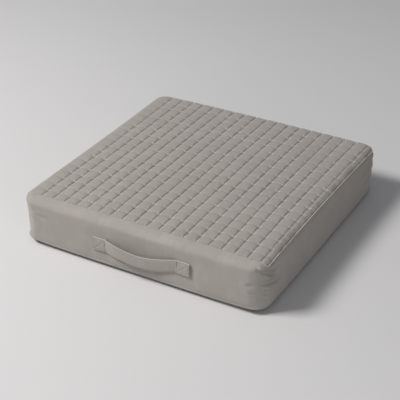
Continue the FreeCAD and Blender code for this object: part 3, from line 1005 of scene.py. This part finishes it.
def make_zip_topstitching():
    """A straight row of stitches on each back strip, through to the zip's tape."""
    x = np.arange(2 * MM - JOIN_X, JOIN_X - 2 * MM, PATH_STEP)
    heights = [ZIP_Z + side * (ZIP_GAP + STITCH_FROM_FOLD) - BOTTOM_SEAM_Z for side in (-1, 1)]
    paths = [back_place(x, 0 * x + q, 0.16 * MM) for q in heights]
    return run_stitches("zip_topstitch_rows", paths, "zip")


def make_label():
    """A blank woven label, sewn into the bottom seam. Its free top edge stands a little off the
    cloth."""
    low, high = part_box("care_label")
    x, z = np.meshgrid(np.linspace(low.x, high.x, 29), np.linspace(low.z, high.z, 24))
    share = (z - low.z) / (high.z - low.z)
    cloth, _ = back_place(x, z - BOTTOM_SEAM_Z)
    stand = 0.35 * MM + 1.3 * MM * smooth((share - 0.45) / 0.6)
    stand = stand + 0.25 * MM * soft_noise(x, z, 14 * MM, 71) * share
    return sheet_piece("blank_label", cloth + np.stack([0 * x, stand, 0 * x], -1), x, z, 0.25 * MM)


# ---------------------------------------------------------------- the carry strap

STRAP_WIDTH = LEFT_HIGH.z - LEFT_LOW.z
STRAP_THICK = 2.2 * MM
STRAP_LEFT = LEFT_HIGH.x
STRAP_RIGHT = RIGHT_LOW.x
LEFT_Z = (LEFT_LOW.z + LEFT_HIGH.z) / 2
RIGHT_Z = (RIGHT_LOW.z + RIGHT_HIGH.z) / 2
STRAP_MIDDLE = (STRAP_LEFT + STRAP_RIGHT) / 2
STRAP_OVERLAP = 2 * MM
STRAP_BOW = 10.0 * MM
STRAP_DROOP = 7.6 * MM
STRAP_LEAN = math.radians(5)
STAND_OFF = 0.9 * MM
PATCH_THICK = 3.5 * MM
EDGE_STITCH = 2.6 * MM
END_STITCH = 3 * MM
END_CURL = 1.4 * MM


def slab_section(width, thickness, across=19):
    """A flat band's cross-section: its front, its round upper edge, its back and its round lower
    edge. Each point is how far it is across the width from the middle, and out through the
    thickness."""
    r = thickness / 2
    flat = width / 2 - r
    turn = np.radians([60, 30, 0, -30, -60])
    edge_v, edge_h = flat + r * np.cos(turn), r + r * np.sin(turn)
    behind = 9
    front, back = np.linspace(-flat, flat, across), np.linspace(flat, -flat, behind)
    v = np.concatenate([front, edge_v, back, -edge_v[::-1]])
    h = np.concatenate([np.full(across, thickness), edge_h, np.zeros(behind), edge_h[::-1]])
    return v, h


def strap_line(x):
    """The strap's middle line: where it is, and how far it leans, at x along the front."""
    share = np.clip((x - STRAP_LEFT) / (STRAP_RIGHT - STRAP_LEFT), 0, 1)
    sag = np.sin(math.pi * share**1.18)
    out = np.sin(math.pi * share**0.85)
    z = LEFT_Z + (RIGHT_Z - LEFT_Z) * share - STRAP_DROOP * sag**1.25
    base, _ = band_place(FRONT_MIDDLE + x, z - BOTTOM_SEAM_Z)
    base = base + np.stack([0 * x, -STAND_OFF - STRAP_BOW * out**0.9, 0 * x], -1)
    return base, STRAP_LEAN * out**1.1


def strap_place(x, v, h):
    """A place on the strap: x along the front, v across its width, and h out through its
    thickness."""
    base, lean = strap_line(x)
    ahead = strap_line(x + 0.5 * MM)[0] - strap_line(x - 0.5 * MM)[0]
    ahead /= np.linalg.norm(ahead, axis=-1, keepdims=True)
    up = np.array([0.0, 0.0, 1.0]) - ahead * ahead[..., 2:3]
    up /= np.linalg.norm(up, axis=-1, keepdims=True)
    out = np.cross(ahead, up)
    across = up * np.cos(lean)[..., None] + out * np.sin(lean)[..., None]
    outward = out * np.cos(lean)[..., None] - up * np.sin(lean)[..., None]
    return base + across * v[..., None] + outward * h[..., None], outward


def strap_surface(x, v, h):
    """Adds to a plain thickness the strap's stitched edges, its folded lower edge and its slight
    cupping."""
    front = smooth(h / STRAP_THICK * 2 - 1)
    in_from_edge = STRAP_WIDTH / 2 - np.abs(v)
    shape = 0.12 * bump(in_from_edge - 5 * MM, 2 * MM)
    shape -= 0.28 * bump(in_from_edge - EDGE_STITCH, 0.8 * MM)
    shape -= 0.3 * bump(v + STRAP_WIDTH / 2 - 1.2 * MM, 0.35 * MM)
    shape += 0.14 * soft_noise(x, v, 9 * MM, 81) + 0.1 * soft_noise(x, v * 0.2, 5 * MM, 82)
    cup = 0.6 * MM * (1 - (2 * v / STRAP_WIDTH) ** 2)
    return h + MM * shape * front + cup


def strap_rubbing_and_painted_highlight(v):
    """The strap's long edges are painted paler: partly worn pale by hands, partly a painted
    highlight.
    """
    return 0.45 * bump(STRAP_WIDTH / 2 - np.abs(v), 0.9 * MM)


def make_strap_half(name, outer_x):
    """The strap's free span from one end to its middle, as closed cloth."""
    v, h = slab_section(STRAP_WIDTH, STRAP_THICK)
    x, v = np.meshgrid(np.linspace(outer_x, STRAP_MIDDLE, 60), v, indexing="ij")
    loops, _ = strap_place(x, v, strap_surface(x, v, np.broadcast_to(h, x.shape)))
    return loft(name, loops, strap_rubbing_and_painted_highlight(v))


def make_strap_stitches(name, outer_x):
    """The two rows of edge stitching on half of the free span."""
    x = np.linspace(min(outer_x, STRAP_MIDDLE), max(outer_x, STRAP_MIDDLE), 120)
    paths = []
    for side in (-1, 1):
        v = np.full(x.shape, side * (STRAP_WIDTH / 2 - EDGE_STITCH))
        h = strap_surface(x, v, np.full(x.shape, STRAP_THICK))
        paths.append(strap_place(x, v, h + 0.1 * MM))
    return run_stitches(name, paths, "strap_edge")


def patch_stitch_lines(x_low, x_high):
    """The box and cross sewn on a strap end, as straight lines of (x, v)."""
    left, right = x_low + END_STITCH, x_high - END_STITCH
    reach = STRAP_WIDTH / 2 - END_STITCH
    corners = [(left, -reach), (right, -reach), (right, reach), (left, reach)]
    lines = list(zip(corners, corners[1:] + corners[:1]))
    return lines + [(corners[0], corners[2]), (corners[1], corners[3])]


def patch_height(x, v, low, high):
    """How proud a sewn strap end stands: rounded over its last millimetre, and dented along its
    stitching."""
    inside = np.minimum(x - low.x, high.x - x)
    rounded = np.sqrt(np.clip(1 - (1 - np.clip(inside / MM, 0, 1)) ** 2, 0, 1))
    dent = np.zeros(np.shape(x))
    for (x0, v0), (x1, v1) in patch_stitch_lines(low.x, high.x):
        length = math.hypot(x1 - x0, v1 - v0)
        along = np.clip(((x - x0) * (x1 - x0) + (v - v0) * (v1 - v0)) / length**2, 0, 1)
        off = np.hypot(x - x0 - along * (x1 - x0), v - v0 - along * (v1 - v0))
        dent = np.maximum(dent, bump(off, 1.0 * MM))
    plump = PATCH_THICK + 0.25 * MM * soft_noise(x, v, 7 * MM, 83) - 0.6 * MM * dent
    return plump * (0.35 + 0.65 * rounded)


def make_strap_end(name, node, middle_z, curl):
    """A sewn end of the strap: folded under, so it is twice as thick, and stitched down. Outside
    its stitching, its far edge curls off the pad."""
    low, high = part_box(node)
    edge = np.array([0, 0.1, 0.25, 0.5, 0.9, 1.6]) * MM
    middle = np.linspace(low.x + 2.6 * MM, high.x - 2.6 * MM, 32)
    v, h = slab_section(STRAP_WIDTH, PATCH_THICK, across=29)
    along = np.concatenate([low.x + edge, middle, high.x - edge[::-1]])
    x, v = np.meshgrid(along, v, indexing="ij")
    wave = 0.35 * MM * soft_noise(x, 0 * v, 11 * MM, 84) * np.sign(v)
    curled = curl * smooth((x - high.x + END_STITCH) / END_STITCH)
    height = patch_height(x, v, low, high) * (h / PATCH_THICK) + 0.1 * MM + curled
    places, _ = band_place(FRONT_MIDDLE + x, middle_z + v + wave - BOTTOM_SEAM_Z, height)
    return loft(name, places, strap_rubbing_and_painted_highlight(v))


def make_end_stitches(name, node, middle_z):
    """The box and cross of stitches on a strap end."""
    low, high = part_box(node)
    paths = []
    for (x0, v0), (x1, v1) in patch_stitch_lines(low.x, high.x):
        share = np.linspace(0, 1, 40)
        x = x0 + (x1 - x0) * share
        v = v0 + (v1 - v0) * share
        height = patch_height(x, v, low, high) + 0.25 * MM
        paths.append(band_place(FRONT_MIDDLE + x, middle_z + v - BOTTOM_SEAM_Z, height))
    return run_stitches(name, paths, "strap_end")


# ---------------------------------------------------------------- materials


class Look:
    """A material being put together, with short calls for its nodes."""

    def __init__(self, name, **values):
        self.material = bpy.data.materials.new(name)
        self.material.use_nodes = True
        self.tree = self.material.node_tree
        self.shader = self.tree.nodes["Principled BSDF"]
        for key, value in values.items():
            self.shader.inputs[key.replace("_", " ")].default_value = value

    def add(self, kind, out=0, inputs=None, **settings):
        node = self.tree.nodes.new("ShaderNode" + kind)
        for key, value in settings.items():
            setattr(node, key, value)
        for key, value in (inputs or {}).items():
            self.put(value, node.inputs[key])
        return node.outputs[out]

    def put(self, value, socket):
        if isinstance(value, bpy.types.NodeSocket):
            self.tree.links.new(value, socket)
        else:
            socket.default_value = value

    def place(self, kind="Object", stretch=(1, 1, 1)):
        """Coordinates in metres, on the object or (UV) on its flat cloth."""
        flat = kind == "UV"
        start = self.add("UVMap", uv_map="cloth") if flat else self.add("TexCoord", "Object")
        return self.add("Mapping", inputs={"Vector": start, "Scale": stretch})

    def noise(self, where, scale, detail=2.0, roughness=0.5):
        return self.add(
            "TexNoise", "Fac",
            {"Vector": where, "Scale": scale, "Detail": detail, "Roughness": roughness},
        )

    def wave(self, where, scale, direction="X", distortion=0.0):
        return self.add(
            "TexWave", "Fac",
            {"Vector": where, "Scale": scale, "Distortion": distortion, "Detail": 1.0},
            bands_direction=direction,
        )

    def between(self, value, low, high, to_low=0.0, to_high=1.0):
        inputs = {"Value": value, "From Min": low, "From Max": high}
        inputs |= {"To Min": to_low, "To Max": to_high}
        return self.add("MapRange", inputs=inputs, interpolation_type="SMOOTHSTEP")

    def math(self, operation, a, b):
        return self.add("Math", inputs={0: a, 1: b}, operation=operation)

    def tint(self, colour, other, by, low, high, most=1.0, at_low=0.0):
        """The colour, turning to the other as by goes from low to high."""
        share = self.between(by, low, high, at_low, most)
        return self.add("MixRGB", inputs={"Fac": share, "Color1": colour, "Color2": other})

    def bump(self, height, distance, strength, normal=None):
        inputs = {"Height": height, "Distance": distance, "Strength": strength}
        if normal is not None:
            inputs["Normal"] = normal
        return self.add("Bump", inputs=inputs)

    def finish(self, colour=None, roughness=None, normal=None):
        for key, value in (("Base Color", colour), ("Roughness", roughness), ("Normal", normal)):
            if value is not None:
                self.put(value, self.shader.inputs[key])
        return self.material


def tone(colour, factor):
    """A colour made lighter or darker."""
    return (*[min(1.0, c * factor) for c in colour], 1.0)


TAUPE = (0.333, 0.309, 0.283)
THREAD = (0.300, 0.277, 0.254)
AGED_FOAM = (0.78, 0.66, 0.40)


def velvet(name, on_flat=True, quilted=False):
    """Short-pile taupe velvet: soft sheen, a brushed and slightly mottled pile, and fine fibres.
    Raised seam edges get a painted highlight, the strap's edges partly wear and partly painted
    highlight, and the quilted panel painted shade and highlight over its quilting."""
    look = Look(name, Sheen_Weight=0.42, Sheen_Roughness=0.4, Specular_IOR_Level=0.18)
    look.shader.inputs["Sheen Tint"].default_value = (0.92, 0.88, 0.85, 1)
    here = look.place()
    flat = look.place("UV") if on_flat else here
    brushed = look.place("UV", (1, 0.28, 1)) if on_flat else here
    broad = look.noise(here, 11, 3)
    mottle = look.noise(brushed, 95, 3, 0.6)
    fibre = look.noise(brushed, 1500, 2, 0.6)
    grain = look.noise(flat, 620, 2)
    colour = look.tint(tone(TAUPE, 0.95), tone(TAUPE, 1.05), broad, 0.32, 0.68)
    patches = look.noise(here, 42, 2, 0.6)
    colour = look.tint(colour, tone(TAUPE, 0.87), patches, 0.38, 0.62, 0.5)
    colour = look.tint(colour, tone(TAUPE, 0.91), mottle, 0.35, 0.65, 0.45)
    colour = look.tint(colour, tone(TAUPE, 1.12), fibre, 0.35, 0.7, 0.5)
    if quilted:
        # Painted shade in the quilting's grooves and pinches, and a painted highlight beside them.
        painted_shade_and_highlight = look.add("Attribute", "Fac", attribute_name="painted_shade_and_highlight")
        colour = look.tint(colour, tone(TAUPE, 0.55), painted_shade_and_highlight, -0.1, -0.9, 0.32)
        colour = look.tint(colour, tone(TAUPE, 1.45), painted_shade_and_highlight, 0.05, 0.9, 0.6)
    else:
        # Painted highlight on raised seam edges; on the strap's edges partly wear, partly painted
        # highlight.
        painted_highlight_and_rubbing = look.add("Attribute", "Fac", attribute_name="painted_highlight_and_rubbing")
        colour = look.tint(colour, tone(TAUPE, 1.65), painted_highlight_and_rubbing, 0.1, 1.0, 0.8)
    roughness = look.between(mottle, 0.3, 0.7, 0.78, 0.92)
    normal = look.bump(mottle, 0.0006, 0.22)
    normal = look.bump(grain, 0.00022, 0.35, normal)
    normal = look.bump(fibre, 0.00012, 0.45, normal)
    return look.finish(colour, roughness, normal)


def woven(name, base, threads_per_m, kind="Object", sheen=0.1, spread=0.1, thick=0.0002):
    """A plain weave, over and under, with slubs and a little unevenness of colour."""
    look = Look(name, Sheen_Weight=sheen, Sheen_Roughness=0.5, Specular_IOR_Level=0.25)
    here = look.place(kind)
    repeat = threads_per_m / 20
    warp = look.wave(here, repeat, "X", 0.4)
    weft = look.wave(here, repeat, "Y" if kind == "UV" else "Z", 0.4)
    over = look.math("MULTIPLY", warp, weft)
    slub = look.noise(here, threads_per_m / 14, 2)
    broad = look.noise(here, 30, 3)
    colour = look.tint(tone(base, 1 - spread), tone(base, 1 + spread), broad, 0.3, 0.7)
    colour = look.tint(colour, tone(base, 0.6), over, 0.0, 0.7, 0.0, 0.45)
    colour = look.tint(colour, tone(base, 1.15), slub, 0.45, 0.75, 0.4)
    height = look.math("ADD", over, look.math("MULTIPLY", slub, 0.5))
    roughness = look.between(slub, 0.3, 0.7, 0.74, 0.9)
    return look.finish(colour, roughness, look.bump(height, thick, 0.6))


def spun_thread(name, base):
    """Twisted polyester sewing thread."""
    look = Look(name, Sheen_Weight=0.15, Sheen_Roughness=0.4, Specular_IOR_Level=0.35)
    here = look.place()
    twist = look.wave(here, 260, "DIAGONAL", 1.5)
    fuzz = look.noise(here, 2600, 2)
    broad = look.noise(here, 45, 2)
    colour = look.tint(tone(base, 0.93), tone(base, 1.08), broad, 0.3, 0.7)
    colour = look.tint(colour, tone(base, 0.72), twist, 0.2, 0.9, 0.0, 0.3)
    normal = look.bump(look.math("ADD", twist, fuzz), 0.00012, 0.5)
    roughness = look.between(fuzz, 0.3, 0.7, 0.55, 0.75)
    return look.finish(colour, roughness, normal)


def nylon(name, base):
    """Smooth moulded nylon with faint draw marks and dust in its hollows."""
    look = Look(name, Specular_IOR_Level=0.45)
    here = look.place("Object", (0.3, 1, 1))
    marks = look.noise(here, 900, 2)
    dust = look.noise(here, 140, 3)
    colour = look.tint(tone(base, 1), tone(base, 1.25), dust, 0.45, 0.7, 0.35)
    roughness = look.between(marks, 0.3, 0.7, 0.32, 0.5)
    return look.finish(colour, roughness, look.bump(marks, 0.00006, 0.4))


def brushed_metal(name, base):
    """Die-cast metal with a satin plated finish, finely scratched, worn bright where it is handled."""
    look = Look(name, Metallic=1.0)
    here = look.place()
    scratches = look.noise(look.place("Object", (0.15, 1, 1)), 2400, 3, 0.7)
    tarnish = look.noise(here, 380, 3)
    edge = look.add("NewGeometry", "Pointiness")
    colour = look.tint(tone(base, 1.06), tone(base, 0.8), tarnish, 0.35, 0.7)
    colour = look.tint(colour, tone(base, 1.5), edge, 0.52, 0.62, 0.6)
    normal = look.bump(scratches, 0.00003, 0.5)
    roughness = look.between(scratches, 0.3, 0.7, 0.24, 0.42)
    return look.finish(colour, roughness, normal)


def cut_foam(name, base):
    """Open-cell polyurethane foam, yellowing slightly, with its small pores."""
    look = Look(name, Specular_IOR_Level=0.15)
    here = look.place()
    pores = look.add("TexVoronoi", "Distance", {"Vector": here, "Scale": 750.0})
    age = look.noise(here, 14, 3)
    colour = look.tint(tone(base, 0.95), tone(AGED_FOAM, 1), age, 0.3, 0.7)
    colour = look.tint(tone(base, 0.6), colour, pores, 0.1, 0.5, 0.5)
    roughness = look.between(pores, 0.1, 0.6, 0.95, 0.82)
    return look.finish(colour, roughness, look.bump(pores, 0.0006, 0.7))


def fibre_wadding(name, base):
    """White polyester wadding: soft crossed fibres, airy and a little uneven."""
    look = Look(name, Sheen_Weight=0.4, Sheen_Roughness=0.6, Specular_IOR_Level=0.2)
    here = look.place()
    lay = look.noise(look.place("Object", (1, 0.12, 1)), 800, 3, 0.7)
    cross = look.noise(look.place("Object", (0.12, 1, 1)), 700, 3, 0.7)
    clumps = look.noise(here, 120, 3)
    fibres = look.math("MAXIMUM", lay, cross)
    colour = look.tint(tone(base, 0.92), tone(base, 1.03), clumps, 0.35, 0.65)
    colour = look.tint(colour, tone(base, 1.1), fibres, 0.45, 0.7, 0.5)
    roughness = look.between(clumps, 0.3, 0.7, 0.85, 0.95)
    return look.finish(colour, roughness, look.bump(fibres, 0.0008, 0.6))


def label_satin(name, base):
    """White satin ribbon: fine ribs across, woven edges, a slight gleam."""
    look = Look(name, Sheen_Weight=0.2, Sheen_Roughness=0.3, Specular_IOR_Level=0.45)
    flat = look.place("UV")
    ribs = look.wave(flat, 170, "Y", 0.3)
    slub = look.noise(look.place("UV", (0.2, 1, 1)), 900, 2)
    soil = look.noise(flat, 60, 3)
    colour = look.tint(tone(base, 1), tone(base, 0.9), soil, 0.35, 0.7)
    colour = look.tint(colour, tone(base, 0.85), slub, 0.5, 0.8, 0.4)
    normal = look.bump(look.math("ADD", ribs, slub), 0.00008, 0.5)
    roughness = look.between(slub, 0.3, 0.7, 0.38, 0.55)
    return look.finish(colour, roughness, normal)


def painted_floor(name, base):
    """A plain pale matt floor."""
    look = Look(name, Specular_IOR_Level=0.2)
    here = look.place()
    broad = look.noise(here, 0.9, 3)
    fine = look.noise(here, 160, 3)
    colour = look.tint(tone(base, 0.985), tone(base, 1.01), broad, 0.3, 0.7)
    roughness = look.between(fine, 0.3, 0.7, 0.72, 0.84)
    return look.finish(colour, roughness, look.bump(fine, 0.0002, 0.2))


def dress(piece, material, node=None, body="pad"):
    """Gives a piece its finish, hides the CAD part that it stands for, and attaches it to the body
    that it moves with.
    """
    piece.data.materials.clear()
    piece.data.materials.append(material)
    if node:
        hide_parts(node)
    if body:
        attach(piece, body)


# ---------------------------------------------------------------- putting it together

quilted_velvet = velvet("velvet_quilted", quilted=True)
plain_velvet = velvet("velvet_plain")
strap_velvet = velvet("velvet_strap", on_flat=False)
base_weave = woven("base_weave", (0.300, 0.275, 0.250), 900, "UV")
backing_weave = woven("backing_weave", (0.72, 0.70, 0.66), 1100)
cover_thread = spun_thread("cover_thread", THREAD)
quilt_thread = spun_thread("quilt_thread", tone(THREAD, 0.92)[:3])
tape_weave = woven("tape_weave", (0.235, 0.212, 0.190), 1500, "UV", spread=0.06, thick=0.00012)
coil_nylon = nylon("coil_nylon", (0.200, 0.182, 0.165))
zip_metal = brushed_metal("zip_metal", (0.42, 0.39, 0.36))
foam_look = cut_foam("foam_open_cell", (0.80, 0.74, 0.55))
wadding_look = fibre_wadding("polyester_wadding", (0.84, 0.84, 0.82))
label_look = label_satin("label_satin", (0.80, 0.79, 0.76))

top_panel = make_top_panel()
wadding = layer_under_panel("wadding_sheet", under_face, level(WADDING_BOTTOM))
backing = layer_under_panel("backing_sheet", level(BACKING_TOP), level(BACKING_BOTTOM))
foam = make_foam()
long_stitches, cross_stitches = make_quilting()
side_band = make_side_band()
upper_strip = make_back_strip("back_strip_upper", UPPER_FROM, BACK_TOP, True)
lower_strip = make_back_strip("back_strip_lower", 0.0, LOWER_TO, False)
bottom = make_bottom()
top_seam, bottom_seam, back_joins = make_seam_stitches()
upper_tape = make_zip_tape("zip_tape_upper_weave", "zip_tape_upper")
upper_coil = make_coil("zip_teeth_upper", "zip_coil_upper", 0.0)
lower_tape = make_zip_tape("zip_tape_lower_weave", "zip_tape_lower")
lower_coil = make_coil("zip_teeth_lower", "zip_coil_lower", 0.5)
zip_rows = make_zip_topstitching()
label = make_label()

for piece, material, slot, node in (
    (top_panel, quilted_velvet, "cover_cloth", "top_face_fabric"),
    (wadding, wadding_look, "wadding", "quilt_wadding"),
    (backing, backing_weave, "backing_cloth", "quilt_backing"),
    (foam, foam_look, "foam", "foam_core"),
    (long_stitches, quilt_thread, "thread", "quilting_rows_lengthwise"),
    (cross_stitches, quilt_thread, "thread", "quilting_rows_crosswise"),
    (side_band, plain_velvet, "cover_cloth", "side_band"),
    (upper_strip, plain_velvet, "cover_cloth", "back_band_upper"),
    (lower_strip, plain_velvet, "cover_cloth", "back_band_lower"),
    (bottom, base_weave, "base_cloth", "bottom_panel"),
    (top_seam, cover_thread, "thread", "top_seam_thread"),
    (bottom_seam, cover_thread, "thread", "bottom_seam_thread"),
    (back_joins, cover_thread, "thread", "back_join_threads"),
    (upper_tape, tape_weave, "zip_tape", "zip_tape_upper"),
    (upper_coil, coil_nylon, "zip_coil", "zip_coil_upper"),
    (lower_tape, tape_weave, "zip_tape", "zip_tape_lower"),
    (lower_coil, coil_nylon, "zip_coil", "zip_coil_lower"),
    (zip_rows, cover_thread, "thread", "zip_topstitching"),
    (label, label_look, "label_tape", "care_label"),
):
    dress(piece, material, node)

# The zip's metal parts stay as the CAD made them, with a finish and eased edges.
METAL_EDGE = 0.18 * MM
for node in ("zip_slider", "zip_pull_tab", "zip_top_stops", "zip_bottom_stop"):
    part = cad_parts[node]
    part.data.materials.clear()
    part.data.materials.append(zip_metal)
    eased = part.modifiers.new("eased_edges", "BEVEL")
    eased.width = METAL_EDGE
    eased.segments = 2
    eased.limit_method = "ANGLE"

# The strap's free span is made as two halves that meet at its middle and are attached to no body;
# its sewn ends stay with the pad.
for side, joint_x, overlap in (
    ("left", STRAP_LEFT, -STRAP_OVERLAP),
    ("right", STRAP_RIGHT, STRAP_OVERLAP),
):
    half = make_strap_half(f"strap_half_{side}", joint_x + overlap)
    rows = make_strap_stitches(f"strap_edge_stitches_{side}", joint_x)
    dress(half, strap_velvet, "handle_strap", body=None)
    dress(rows, cover_thread, body=None)
    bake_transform(half)
    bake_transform(rows)

for side, middle_z, curl in (("left", LEFT_Z, 0.0), ("right", RIGHT_Z, END_CURL)):
    end_node = f"handle_end_{side}"
    patch = make_strap_end(f"strap_end_{side}", end_node, middle_z, curl)
    dress(patch, strap_velvet, end_node)
    stitches = make_end_stitches(f"strap_end_stitches_{side}", end_node, middle_z)
    dress(stitches, cover_thread, f"handle_stitching_{side}")


# ---------------------------------------------------------------- floor, light and camera

FLOOR_SIZE = 14
bpy.ops.mesh.primitive_plane_add(size=FLOOR_SIZE)
floor = bpy.context.object
floor.name = "floor"
floor.data.materials.append(painted_floor("floor_paint", (0.62, 0.615, 0.61)))

scene = bpy.context.scene
scene.view_settings.view_transform = "Standard"
world = bpy.data.worlds.new("studio")
world.use_nodes = True
sky = world.node_tree.nodes["Background"].inputs
sky["Color"].default_value = (0.93, 0.94, 1.0, 1)
sky["Strength"].default_value = 0.26
scene.world = world


def area_light(name, place, target, size, power, colour):
    """A soft square light at a place, turned to its target."""
    data = bpy.data.lights.new(name, "AREA")
    data.size = size
    data.energy = power
    data.color = colour
    light = bpy.data.objects.new(name, data)
    light.location = place
    light.rotation_euler = (Vector(target) - Vector(place)).to_track_quat("-Z", "Y").to_euler()
    scene.collection.objects.link(light)


PAD_MIDDLE = (0, 0, 0.05)
area_light("key", (-1.65, -1.36, 2.51), PAD_MIDDLE, 1.0, 102, (1.0, 0.985, 0.975))
area_light("fill", (0.9, -2.6, 1.3), PAD_MIDDLE, 1.6, 2.5, (0.97, 0.98, 1.0))
area_light("low_fill", (1.7, -1.6, 0.42), (0.2, -0.2, 0.05), 0.8, 7, (1.0, 0.99, 0.97))

# The photograph's view, from a camera fitted to the rows of quilting.
CAMERA_PLACE = (0.895, -1.5908, 1.1196)
SENSOR_WIDTH, LENS = 36, 98.47
AZIMUTH = math.radians(29.7)
ELEVATION = math.radians(30.83)
ROLL = math.radians(-0.41)
toward = Vector((
    math.sin(AZIMUTH) * math.cos(ELEVATION),
    -math.cos(AZIMUTH) * math.cos(ELEVATION),
    math.sin(ELEVATION),
))
camera_data = bpy.data.cameras.new("camera")
camera_data.sensor_width = SENSOR_WIDTH
camera_data.lens = LENS
camera_data.clip_start = 0.05
camera_data.clip_end = 60
camera = bpy.data.objects.new("camera", camera_data)
camera.location = CAMERA_PLACE
turned = (-toward).to_track_quat("-Z", "Y").to_matrix() @ Matrix.Rotation(ROLL, 3, "Z")
camera.rotation_euler = turned.to_euler()
scene.collection.objects.link(camera)
scene.camera = camera
